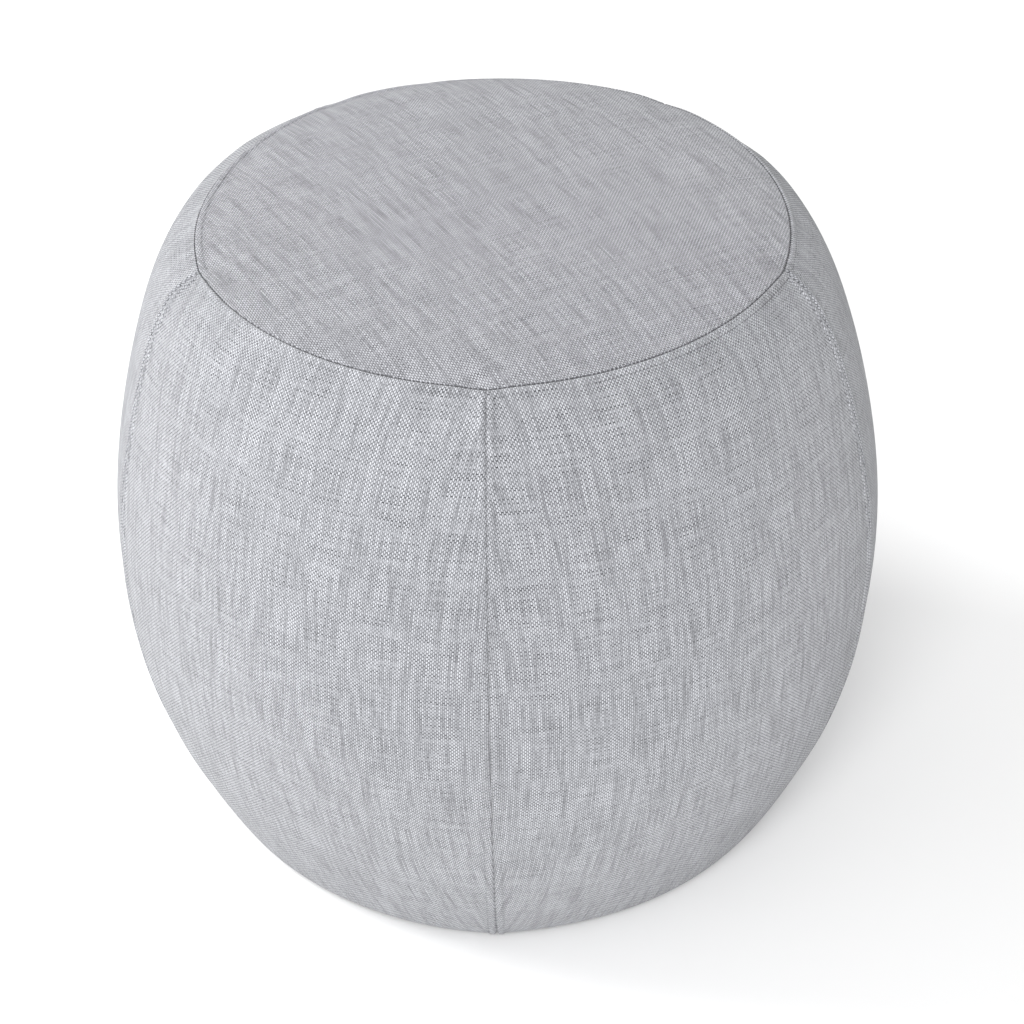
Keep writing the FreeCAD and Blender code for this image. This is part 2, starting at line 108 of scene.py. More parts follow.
# Fullness and unevenness of the stuffed cover
CORNER_DROOP = 0.0016
CORNER_REACH = 0.013
UNEVEN = 0.0006
UNEVEN_SPAN = 0.085
PAD_RISE = 0.0056
PAD_MIDDLE = 0.024
PAD_SPAN = 0.055
PAD_SHARES = {0: 0.5, 30: 0.9, 70: 0.0, 115: 1.0, 145: 1.4, 180: 0.9, 270: 0.5, 360: 0.5}

# Cloth simulation of the stuffed cover
SWELL_DEG = 3.0
SWELL_ROWS = 46
SWELL_CROWN = 0.93
SWELL_EVEN = 0.7
SWELL_HELD = 0.03
SWELL_CAP = 0.0025
SWELL_PRESSURE = 40.0
SWELL_STIFFNESS = 15.0
SWELL_DAMPING = 4.0
SWELL_FRAMES = 20

# Levels and places read from the frame
FLOOR = cad_low.z
CROWN_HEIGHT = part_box("top_panel")[1].z
BASE_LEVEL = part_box("base_panel")[0].z
TAPE_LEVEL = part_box("zip_tape_outer")[0].z
TAPE_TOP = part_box("zip_tape_outer")[1].z
COIL_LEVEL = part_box("zip_coil_outer")[0].z
BOARD_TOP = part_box("base_board")[1].z
BOARD_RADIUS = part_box("base_board")[1].x
SEAT_FOAM_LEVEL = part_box("seat_foam")[0].z
FOAM_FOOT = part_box("core_foam")[0].z
TAB_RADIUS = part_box("base_panel")[1].y
BASE_CLOTH_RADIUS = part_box("base_panel")[1].x
SWING = next(joint for joint in frame["joints"] if joint["name"] == "pull_swing")
PIN = Vector(SWING["pos_m"])
ZIP_RADIUS = math.hypot(PIN.x, PIN.y)
SLIDER_DEG = math.degrees(math.atan2(PIN.y, PIN.x))
CROWN_RADIUS = (TOP_SEAM_RADIUS ** 2 + (CROWN_HEIGHT - TOP_SEAM_HEIGHT) ** 2) / (
    2 * (CROWN_HEIGHT - TOP_SEAM_HEIGHT))

# Stitches
STITCH_LENGTH = 0.0019
STITCH_PITCH = 0.0028
STITCH_SINK = 0.4
SEAM_THREAD = 0.0007
SEAM_LINE_POINTS = 721
TOPSTITCH_FROM = 0.3
HEM_STITCH_RADIUS = 0.1705
BASE_STITCH_RADIUS = 0.1470
HEM_STITCH_PITCH = 0.0034
ZIP_THREAD = 0.00042
ZIP_THREAD_SINK = 0.2
ZIP_LINE_POINTS = 400

# Cloth at the edge of the allowance, kept from each side panel for a second row of stitches
TOPSTITCH_LINES = {}

# Zip
ZIP_START_DEG = 120.0
ZIP_END_DEG = 420.0
ZIP_HALF_GAP = 0.0006
ZIP_SLIT_HALF = 0.0004
COIL_WIDTH = 0.0028
TOOTH_PITCH = 0.0017
TOOTH_WIDTH = 0.0014
TOOTH_INSET = 0.16
TOOTH_STRETCH = 1.16
TAPE_WIDTH = 0.0144
TAPE_OVERRUN = 0.004
TAPE_COLUMNS = 320
TAPE_ROWS = 6
STOP_LENGTH = 0.0033
STOP_INSET = 0.0006
STOP_HEIGHT = 0.0008
STOP_EASE = STOP_HEIGHT * 0.3

# Zip slider and pull
RUN_GAP = 0.0003
SLIDER_LENGTH = 0.014
SLIDER_PLATE = 0.0013
SLIDER_LIP = 0.0019
SLIDER_LIP_RISE = 0.0018
SLIDER_BLADE = 0.0004
SLIDER_CAP_HALF = 0.0045
SLIDER_CAP = 0.001
SLIDER_EDGE = 0.00022
SLIDER_WAIST = (0.98, 1.0, 1.0, 1.0, 0.98)
BRIDGE_LENGTH = 0.011
BRIDGE_WIRE = 0.00085
BRIDGE_FLARE = 1.15
BRIDGE_DROP = 0.0032
PULL_LENGTH = 0.026
PULL_WIDTH = 0.009
PULL_THICKNESS = 0.0016
PULL_PIN = 0.0007
PULL_HOLE = 0.002
PULL_HOLE_INSET = 0.0045
PULL_WINDOW = 0.0026
PULL_WINDOW_END = 0.0065
PULL_BORDER = 0.0012
PULL_PANEL = 0.009
PULL_PANEL_MIDDLE = 0.0135
PULL_SINK = 0.0005
PULL_EDGE = 0.00022
PULL_DROOP_DEG = 22.0445

# Wadding and foam, measured in from the cover's outline
WADDING_OUT = 0.0030
WADDING_IN = 0.0092
WADDING_RIM_POINTS = 24
FOAM_OUT = 0.0096
FOAM_EDGE = 0.006
FILLING_STEP = 0.006
FILLING_DEG = 3.0
LAYER_GAP = 0.0003
NUT_ROOM = 0.0018
HEM_LENGTH = 0.008

# Base cloth
BASE_SAG = 0.0012
BASE_SAG_EASE = 0.030
BASE_SAG_POWER = 4
TAB_START_DEG = 62.34
TAB_END_DEG = 117.66
TAB_COLUMNS = 29
TAB_ROWS = 6
REST_COLUMNS = 152

# Glides and their screws
GLIDES = ["front_right", "back_right", "back_left", "front_left"]
GLIDE_RADIUS = 0.020
GLIDE_EDGE_LEVEL = 0.004
GLIDE_SOLE = 0.017
GLIDE_RECESS = 0.0068
GLIDE_RECESS_LEVEL = 0.007
GLIDE_EASE = 0.0006
SCREW_HOLE = 0.0033
SCREW_SHANK = 0.0029
SCREW_HEAD = 0.006
SCREW_HEAD_HEIGHT = 0.0036
SCREW_DOME = ((0.5, 0.06), (0.8, 0.22), (1.0, 0.55))
SCREW_SLOT = 0.0013
SCREW_SLOT_REACH = SCREW_HEAD * 1.1
SCREW_DRIVE = 0.0026
SCREW_DRIVE_SINK = SCREW_DRIVE * 0.3
SCREW_EASE = SCREW_SLOT * 0.2
SCREW_TIP = 0.0007

# Shaping
SPIN_STEPS = 48
SHARP_ANGLE = math.radians(35)
BAIL_SMOOTH_ANGLE = math.radians(50)
MERGE_DISTANCE = 1e-6
SAME_POINT = 1e-7
NO_LENGTH = 1e-12
END_FACING = 0.9

# Weave of the cover
THREAD_PITCH = 0.00126
THREAD_SWING = 0.4
THREAD_LEVEL = 0.6
SIDE_YARN = (0.54, 0.55, 0.583, 1)
# The top's yarn is the side yarn painted darker: painted shade on the upward-facing top.
TOP_YARN_PAINTED_SHADE = (0.49, 0.495, 0.53, 1)
DARK_YARN = (0.06, 0.061, 0.068, 1)
# Painted shade in the low pits between the cover's threads, and the span of weave height it covers.
YARN_GAP_SHADE = (0.03, 0.03, 0.034, 1)
YARN_GAP_SHADE_SPAN = (0.05, 0.45)
WARP_SEED = 1.0
WEFT_SEED = 41.0
WARP_TONE = 0.78
WEFT_TONE = 0.27
WARP_SHARES = (1.5, 1.0, 0.6)
WEFT_SHARES = (0.9, 0.3, 0.6)
SLUB_RATE = 0.035
STREAK_RATE = 0.28
STREAK_SHAPE = 0.08
STREAK_SEED = 7
FLECK_SEED = 3.3
FLECK_SCALE = 1.7

# Patterns of the other finishes
NOISE_SPAN = (0.3, 0.7)
PORE_SPAN = (0.1, 0.6)
SPANGLE_SPAN = (0.1, 0.7)
DULL_SPAN = (0.35, 0.65)
SCUFF_SPAN = (0.45, 0.75)
BOND_PITCH = 0.0022
BOND_TURN = math.radians(45)
BOND_SPAN = (0.18, 0.32)
FIBRE_RISE = 0.35
FIBRE_TONE = 0.5
RIBBON_PITCH = 0.0006
RIBBON_GAP_SHADE_SPAN = (0.2, 0.7)
RUBBED_HEIGHT = 0.003
PLY_PITCH = 0.0026

# Darker and lighter tone of the other finishes
WADDING_TONES = ((0.78, 0.78, 0.76, 1), (0.92, 0.92, 0.90, 1))
FOAM_TONES = ((0.80, 0.72, 0.50, 1), (0.86, 0.79, 0.58, 1))
# Painted shade inside the foam's open pores.
FOAM_PORE_SHADE = (0.62, 0.53, 0.34, 1)
BASE_CLOTH_TONES = ((0.010, 0.010, 0.011, 1), (0.050, 0.050, 0.054, 1))
RIBBON_TONES = ((0.20, 0.20, 0.215, 1), (0.26, 0.26, 0.275, 1))
# Painted shade in the low pits between the zip tape's threads.
RIBBON_GAP_SHADE = (0.07, 0.07, 0.075, 1)
NYLON_TONES = ((0.13, 0.13, 0.14, 1), (0.18, 0.18, 0.19, 1))
NICKEL_TONES = ((0.50, 0.485, 0.455, 1), (0.66, 0.645, 0.61, 1))
ZINC_TONES = ((0.52, 0.54, 0.56, 1), (0.70, 0.72, 0.73, 1))
GLIDE_TONES = ((0.012, 0.012, 0.012, 1), (0.07, 0.07, 0.07, 1))
WOOD_TONES = ((0.55, 0.38, 0.21, 1), (0.72, 0.55, 0.35, 1))
PLY_TONES = ((0.36, 0.22, 0.11, 1), (0.66, 0.48, 0.29, 1))
SEAM_THREAD_TONES = ((0.04, 0.04, 0.045, 1), (0.09, 0.09, 0.10, 1))
ZIP_THREAD_TONES = ((0.14, 0.14, 0.155, 1), (0.26, 0.26, 0.28, 1))
FLOOR_TONES = ((0.84, 0.84, 0.84, 1), (0.86, 0.86, 0.86, 1))

# Floor and light: each lamp's power, size and place
FLOOR_SIZE = 30.0
ROOM_LIGHT = 0.75
LAMP_AIM = Vector((0, 0, 0.2))
LAMPS = {
    "key_lamp": (79.0, 1.4, (-2.6, 0.5, 1.9)),
    "front_fill": (82.0, 2.0, (-0.15, -2.6, 2.0)),
    "back_lamp": (3.0, 1.6, (-1.6, 1.4, 3.0)),
}

# Camera: placed to match the photograph's view of the pouf
CAMERA_AIM = Vector((0.0, 0.0, 0.2125))
CAMERA_DISTANCE = 2.0
CAMERA_ELEVATION = math.radians(36.0)
CAMERA_AZIMUTH = math.radians(1.8)
CAMERA_YAW = 0.0045
CAMERA_PITCH = -0.005
CAMERA_ROLL = -0.019
CAMERA_LENS = 105.57
SENSOR = 36.0


def smooth_step(value, low, high):
    """0 below low, 1 above high, eased between."""
    share = np.clip((value - low) / (high - low), 0.0, 1.0)
    return share * share * (3 - 2 * share)


def bell(value, width):
    return np.exp(-(value / width) ** 2)


def unit(vectors):
    return vectors / np.linalg.norm(vectors, axis=-1, keepdims=True)


def lengths_along(points):
    """Length along a line of points, at each of them."""
    steps = np.linalg.norm(np.diff(points, axis=0), axis=1)
    return np.concatenate([[0.0], np.cumsum(steps)])


def along_line(at, along, values):
    """Rows of values at lengths along a line, blended between its points."""
    return np.stack([np.interp(at, along, column) for column in values.T], axis=-1)


class Outline:
    """The cover's side from the top seam down to the hem, by length along the cloth."""

    def __init__(self):
        points = np.concatenate(self.runs())
        steps = np.linalg.norm(np.diff(points, axis=0), axis=1)
        keep = np.concatenate([[True], steps > SAME_POINT])
        self.points = points[keep]
        self.along = lengths_along(self.points)
        tangent = unit(np.gradient(self.points, self.along, axis=0))
        self.normals = np.stack([-tangent[:, 1], tangent[:, 0]], axis=1)
        self.length = self.along[-1]

    @staticmethod
    def arc(centre, radius, start, end):
        angles = np.radians(np.linspace(start, end, ARC_STEPS))
        return centre + radius * np.stack([np.cos(angles), np.sin(angles)], axis=1)

    def runs(self):
        """Shoulder, upper and lower belly, rolled rim, fillet and flat hem."""
        upper = np.array([BELLY_RADIUS - UPPER_ARC_RADIUS, BELLY_HEIGHT])
        turn = math.radians(UPPER_ARC_DEG)
        out = np.array([math.cos(turn), math.sin(turn)])
        handover = upper + UPPER_ARC_RADIUS * out
        to_seam = np.array([TOP_SEAM_RADIUS, TOP_SEAM_HEIGHT]) - handover
        radius = -(to_seam @ to_seam) / (2 * to_seam @ out)
        shoulder = handover - radius * out
        seam = handover + to_seam - shoulder
        seam_deg = math.degrees(math.atan2(seam[1], seam[0]))
        lower = np.array([BELLY_RADIUS - LOWER_ARC_RADIUS, BELLY_HEIGHT])
        reach = LOWER_ARC_RADIUS - RIM_ARC_RADIUS
        rim_turn = math.asin((BELLY_HEIGHT - BASE_LEVEL) / reach)
        rim_deg = -math.degrees(rim_turn)
        rim = lower + reach * np.array([math.cos(rim_turn), -math.sin(rim_turn)])
        sideways = math.sqrt((RIM_ARC_RADIUS + HEM_FILLET) ** 2 - HEM_FILLET ** 2)
        fillet = rim - np.array([sideways, HEM_FILLET])
        fillet_deg = math.degrees(math.atan2(HEM_FILLET, sideways))
        hem = np.array([[fillet[0], BASE_LEVEL], [HEM_RADIUS, BASE_LEVEL]])
        return [
            self.arc(shoulder, radius, seam_deg, UPPER_ARC_DEG),
            self.arc(upper, UPPER_ARC_RADIUS, UPPER_ARC_DEG, 0),
            self.arc(lower, LOWER_ARC_RADIUS, 0, rim_deg),
            self.arc(rim, RIM_ARC_RADIUS, rim_deg, fillet_deg - 180),
            self.arc(fillet, HEM_FILLET, fillet_deg, 90),
            hem,
        ]

    def at(self, along):
        """Radius, height and outward normal at lengths along the cloth."""
        place = along_line(along, self.along, self.points)
        facing = along_line(along, self.along, self.normals)
        return place[..., 0], place[..., 1], unit(facing)

    def rim_start(self):
        """Length at which the cloth turns into the rolled rim."""
        above = self.points[:, 1] > BASE_LEVEL + RIM_ARC_RADIUS
        return float(self.along[above].max())


def off_middle(degrees):
    """Angle from the nearest side panel's middle, in radians."""
    first = PANEL_MIDDLES["right"]
    return np.radians((degrees - first + PANEL_DEG / 2) % PANEL_DEG - PANEL_DEG / 2)


def barrel_radius(radius, off):
    """Distance from the pouf's axis where a side panel has that radius at its middle."""
    across = np.sqrt((radius + PANEL_SET_BACK) ** 2 - (PANEL_SET_BACK * np.sin(off)) ** 2)
    return across - PANEL_SET_BACK * np.cos(off)


def crown_level(radius):
    """Height of the domed top at a distance from the axis."""
    return CROWN_HEIGHT - CROWN_RADIUS + np.sqrt(CROWN_RADIUS ** 2 - radius ** 2)


def sewn_crown(distance, seam):
    """Level of the domed top where its edge is sewn down to one level all round."""
    edge = crown_level(seam)
    drop = edge.mean() + (edge - edge.mean()) * (distance / seam) ** 2
    return crown_level(distance) - drop + TOP_SEAM_HEIGHT


def to_space(radius, height, degrees):
    """Points in the frame from distance, height and direction."""
    radius, height, angle = np.broadcast_arrays(radius, height, np.radians(degrees))
    return np.stack([radius * np.cos(angle), radius * np.sin(angle), height], axis=-1)


def seam_crease(distance):
    """How far the cloth dips into a seam."""
    return -CREASE_DEPTH * bell(distance, CREASE_WIDTH)


def seam_ridge(distance):
    """How far the cloth stands over the pressed seam allowance."""
    inner = smooth_step(distance, *RIDGE_SPAN)
    outer = smooth_step(distance, ALLOWANCE, ALLOWANCE + ALLOWANCE_EASE)
    pressed = ALLOWANCE_MARK * bell(distance - ALLOWANCE, ALLOWANCE_MARK_WIDTH)
    return ALLOWANCE_RISE * inner * (1 - outer) - pressed


def uneven(points):
    """Slow unevenness of stuffed cloth, the same for pieces that meet."""
    flat = points.reshape(-1, 3)
    lifts = [UNEVEN * noise.noise(Vector(point) / UNEVEN_SPAN) for point in flat]
    return np.array(lifts).reshape(points.shape[:-1])


def shoulder_pad(along, degrees):
    """Extra fullness of the shoulder below the top seam, most at the back left."""
    share = np.interp(np.asarray(degrees) % 360.0, list(PAD_SHARES), list(PAD_SHARES.values()))
    eased = smooth_step(along, 0.0, PAD_MIDDLE)
    return PAD_RISE * share * eased * bell(along - PAD_MIDDLE, PAD_SPAN)


def corner_droop(degrees, radius, from_seam):
    """How far the top seam hangs where it crosses a side seam."""
    to_corner = (np.radians(PANEL_DEG / 2) - np.abs(off_middle(degrees))) * radius
    return CORNER_DROOP * bell(to_corner, CORNER_REACH) * bell(from_seam, CORNER_REACH)


def seam_direction(outline):
    """Facing of the top seam, halfway between the side's and the crown's."""
    side = outline.at(np.zeros(1))[2][0]
    lean = TOP_SEAM_RADIUS / CROWN_RADIUS
    return unit(side + np.array([lean, math.sqrt(1 - lean ** 2)]))


OUTLINE = Outline()
TOP_SEAM_FACING = seam_direction(OUTLINE)


def ridge_outside(degrees):
    """1 where the top seam's allowance lies under the side panels, 0 where under the top."""
    turn = (np.asarray(degrees) - UNDER_TOP_FROM_DEG) % 360.0
    return 1 - smooth_step(turn, *UNDER_TOP_EASE_IN) * (1 - smooth_step(turn, *UNDER_TOP_EASE_OUT))


def outward(facing, from_seam, degrees):
    """Outward directions of cloth, turned to the top seam's own facing close to it."""
    sewn = bell(from_seam, SEWN_REACH)[..., None]
    lean = unit((1 - sewn) * facing + sewn * TOP_SEAM_FACING)
    return to_space(lean[..., 0], lean[..., 1], degrees)


def select_only(piece):
    bpy.ops.object.select_all(action="DESELECT")
    piece.select_set(True)
    bpy.context.view_layer.objects.active = piece


def apply_modifiers(piece):
    select_only(piece)
    for modifier in list(piece.modifiers):
        bpy.ops.object.modifier_apply(modifier=modifier.name)


def edit_all(piece):
    """Open a piece for editing with everything selected."""
    select_only(piece)
    bpy.ops.object.mode_set(mode="EDIT")
    bpy.ops.mesh.select_all(action="SELECT")


def leave_edit():
    bpy.ops.object.mode_set(mode="OBJECT")


def put_in_scene(name, data):
    """A new object for a mesh, a camera or a lamp."""
    item = bpy.data.objects.new(name, data)
    bpy.context.scene.collection.objects.link(item)
    return item


def mesh_piece(name, points, faces, flat=None):
    """A piece from points and faces, with its cloth's flat coordinates if it has any."""
    mesh = bpy.data.meshes.new(name)
    mesh.from_pydata(points.tolist(), [], faces.tolist())
    if flat is not None:
        layer = mesh.uv_layers.new(name="cloth")
        corners = np.zeros(len(mesh.loops), np.int32)
        mesh.loops.foreach_get("vertex_index", corners)
        layer.data.foreach_set("uv", flat[corners].astype(np.float32).ravel())
    mesh.update()
    mesh.polygons.foreach_set("use_smooth", np.ones(len(mesh.polygons), bool))
    return put_in_scene(name, mesh)


def grid_faces(rows, columns, closed=False):
    """Quads over a grid of points, facing out where rows go down and columns go round."""
    number = np.arange(rows * columns).reshape(rows, columns)
    if closed:
        number = np.concatenate([number, number[:, :1]], axis=1)
    corners = [number[:-1, :-1], number[1:, :-1], number[1:, 1:], number[:-1, 1:]]
    return np.stack([corner.ravel() for corner in corners], axis=1)


def merge_doubles(piece):
    """Close seams and poles, and turn the faces outwards."""
    edit_all(piece)
    bpy.ops.mesh.remove_doubles(threshold=MERGE_DISTANCE)
    bpy.ops.mesh.normals_make_consistent(inside=False)
    leave_edit()


def thicken(piece, thickness):
    """Give a sheet its thickness, inwards."""
    wall = piece.modifiers.new("cloth_thickness", "SOLIDIFY")
    wall.thickness = thickness
    wall.offset = -1.0
    apply_modifiers(piece)


def surface_area(piece):
    return sum(face.area for face in piece.data.polygons)


def dress(piece, material, body="pouf", replaces=()):
    """Finish a piece: its material, the body it moves with and the node it stands for."""
    piece.data.materials.clear()
    piece.data.materials.append(material)
    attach(piece, body)
    for node in replaces:
        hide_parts(node)


def fine_edges(total, count, both=True):
    """Distances across cloth, close together along its sewn edges."""
    last = SEAM_FINE[-1]
    far = total - last if both else total
    middle = np.linspace(last, far, count)
    near = [SEAM_FINE[:-1], middle]
    if both:
        near.append((total - SEAM_FINE[:-1])[::-1])
    return np.concatenate(near)


def side_rows():
    """Lengths along the cloth of a side panel's rows."""
    rim = OUTLINE.rim_start()
    upper = fine_edges(rim, round(rim / CLOTH_STEP), both=False)
    lower = np.arange(rim + RIM_STEP, OUTLINE.length, RIM_STEP)
    return np.concatenate([upper, lower, [OUTLINE.length]])


def side_cloth(name, middle):
    """One side panel, with creased seams and its hem rolled under."""
    along = side_rows()
    radius, height, facing = OUTLINE.at(along)
    half = np.radians(PANEL_DEG / 2)
    seam_radius = barrel_radius(radius, half)
    width = 2 * half * seam_radius
    columns = round(width.max() / CLOTH_STEP)
    across = np.stack([fine_edges(total, columns) for total in width])
    off = across / seam_radius[:, None] - half
    degrees = middle + np.degrees(off)
    distance = barrel_radius(radius[:, None], off)
    points = to_space(distance, height[:, None], degrees)
    from_top = np.broadcast_to(along[:, None], off.shape)
    from_side = np.minimum(across, width[:, None] - across)
    out = outward(facing[:, None, :], from_top, degrees)
    top_ridge = seam_ridge(from_top) * ridge_outside(degrees)
    ridge = np.where(from_top < from_side, top_ridge, seam_ridge(from_side))
    crease = np.minimum(SIDE_CREASE_SHARE * seam_crease(from_side), seam_crease(from_top))
    bulge = SWELL.at(from_top, degrees) + shoulder_pad(from_top, degrees)
    points += out * (ridge + crease + bulge + uneven(points))[..., None]
    points[..., 2] -= corner_droop(degrees, distance, from_top)
    TOPSTITCH_LINES[name] = points[np.abs(along - ALLOWANCE).argmin()]
    flat = np.stack([across - width[:, None] / 2, OUTLINE.length - from_top], axis=-1)
    rows, count = off.shape
    piece = mesh_piece(name, points.reshape(-1, 3), grid_faces(rows, count), flat.reshape(-1, 2))
    cut = SEAM_ALLOWANCE_CUT
    size = (width.max() + 2 * cut, OUTLINE.length + 2 * cut)
    return piece, size, surface_area(piece) + 2 * cut * OUTLINE.length


def top_cloth(name):
    """The round top panel, domed and sewn down along its edge."""
    degrees = np.arange(0.0, 360.0, TOP_STEP_DEG)
    seam = barrel_radius(TOP_SEAM_RADIUS, off_middle(degrees))
    rings = round(TOP_SEAM_RADIUS / CLOTH_STEP)
    inwards = np.linspace(1.0, 0.0, rings)[1:, None] * (seam - SEAM_FINE[-1])
    distance = np.concatenate([seam - SEAM_FINE[:, None], inwards])
    from_seam = seam - distance
    height = sewn_crown(distance, seam)
    turn = np.broadcast_to(degrees, distance.shape)
    points = to_space(distance, height, turn)
    lean = np.stack([distance / CROWN_RADIUS, np.sqrt(1 - (distance / CROWN_RADIUS) ** 2)], axis=-1)
    out = outward(lean, from_seam, turn)
    ridge = seam_ridge(from_seam) * (1 - ridge_outside(turn))
    bulge = SWELL.at(-TOP_SEAM_RADIUS * from_seam / seam, turn)
    points += out * (ridge + seam_crease(from_seam) + bulge + uneven(points))[..., None]
    points[..., 2] -= corner_droop(turn, distance, from_seam)
    grain = math.radians(TOP_GRAIN_DEG)
    turned = np.array([[math.cos(grain), -math.sin(grain)], [math.sin(grain), math.cos(grain)]])
    flat = points[..., :2] @ turned
    rows, count = distance.shape
    faces = grid_faces(rows, count, closed=True)[:, ::-1]
    piece = mesh_piece(name, points.reshape(-1, 3), faces, flat.reshape(-1, 2))
    merge_doubles(piece)
    side = 2 * (seam.max() + SEAM_ALLOWANCE_CUT)
    return piece, (side, side), math.pi * (seam.mean() + SEAM_ALLOWANCE_CUT) ** 2


class Swell:
    """How far the stuffed cover bulges between its seams, from a cloth simulation."""

    def __init__(self):
        self.degrees = np.arange(0.0, 360.0, SWELL_DEG)
        self.along = np.linspace(-SWELL_CROWN * TOP_SEAM_RADIUS, OUTLINE.rim_start(), SWELL_ROWS)
        self.along[np.abs(self.along).argmin()] = 0.0
        start = self.shape()
        moved = self.simulate(start) - start
        length = np.linalg.norm(moved, axis=-1, keepdims=True)
        moved *= np.minimum(1.0, SWELL_CAP / np.maximum(length, NO_LENGTH))
        lift = np.sum(moved * self.facing(start), axis=-1)
        mean = lift.mean(axis=1, keepdims=True)
        crown_mean = mean[self.along < -SWELL_EVEN * TOP_SEAM_RADIUS].mean()
        even = smooth_step(-self.along / TOP_SEAM_RADIUS, SWELL_EVEN / 2, SWELL_EVEN)[:, None]
        self.lift = lift * (1 - even) + np.minimum(crown_mean, SWELL_CAP) * even

    def shape(self):
        """Coarse points of the cover: the crown above the seam row, the sides below it."""
        off = off_middle(self.degrees)
        seam = barrel_radius(TOP_SEAM_RADIUS, off)
        rows = []
        for along in self.along:
            if along < 0:
                distance = seam * (1 + along / TOP_SEAM_RADIUS)
                height = sewn_crown(distance, seam)
            else:
                radius, height, _ = OUTLINE.at(along)
                distance = barrel_radius(radius, off)
            rows.append(to_space(distance, height, self.degrees))
        return np.stack(rows)

    @staticmethod
    def facing(points):
        """Outward directions on the coarse points."""
        down = np.gradient(points, axis=0)
        ahead = np.roll(points, -1, axis=1) - np.roll(points, 1, axis=1)
        out = np.cross(down, ahead)
        return out / np.maximum(np.linalg.norm(out, axis=-1, keepdims=True), NO_LENGTH)

    def pinned(self):
        """Which coarse points the seams and the base hold."""
        seam = np.abs(off_middle(self.degrees)) > np.radians(PANEL_DEG / 2 - SWELL_DEG / 2)
        held = np.broadcast_to(seam, (len(self.along), len(self.degrees))) & (self.along >= 0)[:, None]
        return held | (self.along == 0.0)[:, None] | (self.along > self.along[-1] - SWELL_HELD)[:, None]

    def simulate(self, start):
        """Points of the cover after it is blown up by its filling."""
        rows, columns = start.shape[:2]
        faces = grid_faces(rows, columns, closed=True).tolist()
        faces += [list(range(columns)), list(range(rows * columns - 1, (rows - 1) * columns - 1, -1))]
        mesh = bpy.data.meshes.new("swell_trial")
        mesh.from_pydata(start.reshape(-1, 3).tolist(), [], faces)
        trial = put_in_scene("swell_trial", mesh)
        group = trial.vertex_groups.new(name="sewn")
        group.add(np.flatnonzero(self.pinned().ravel()).tolist(), 1.0, "REPLACE")
        cloth = trial.modifiers.new("filling_pressure", "CLOTH").settings
        cloth.vertex_group_mass = group.name
        cloth.use_pressure = True
        cloth.uniform_pressure_force = SWELL_PRESSURE
        cloth.effector_weights.gravity = 0.0
        cloth.tension_stiffness = SWELL_STIFFNESS
        cloth.compression_stiffness = SWELL_STIFFNESS
        cloth.air_damping = SWELL_DAMPING
        scene = bpy.context.scene
        for step in range(1, SWELL_FRAMES + 1):
            scene.frame_set(step)
        shown = trial.evaluated_get(bpy.context.evaluated_depsgraph_get())
        points = np.array([vertex.co for vertex in shown.data.vertices]).reshape(start.shape)
        bpy.data.objects.remove(trial)
        scene.frame_set(1)
        return points

    def at(self, along, degrees):
        """Bulge at places on the cover, blended between the coarse points."""
        row = np.interp(along, self.along, np.arange(len(self.along)))
        column = (np.asarray(degrees) % 360.0) / SWELL_DEG
        upper = np.minimum(row.astype(int), len(self.along) - 2)
        left = column.astype(int) % len(self.degrees)
        right = (left + 1) % len(self.degrees)
        down = row - upper
        over = column - np.floor(column)
        first = self.lift[upper, left] * (1 - over) + self.lift[upper, right] * over
        second = self.lift[upper + 1, left] * (1 - over) + self.lift[upper + 1, right] * over
        return first * (1 - down) + second * down


SWELL = Swell()


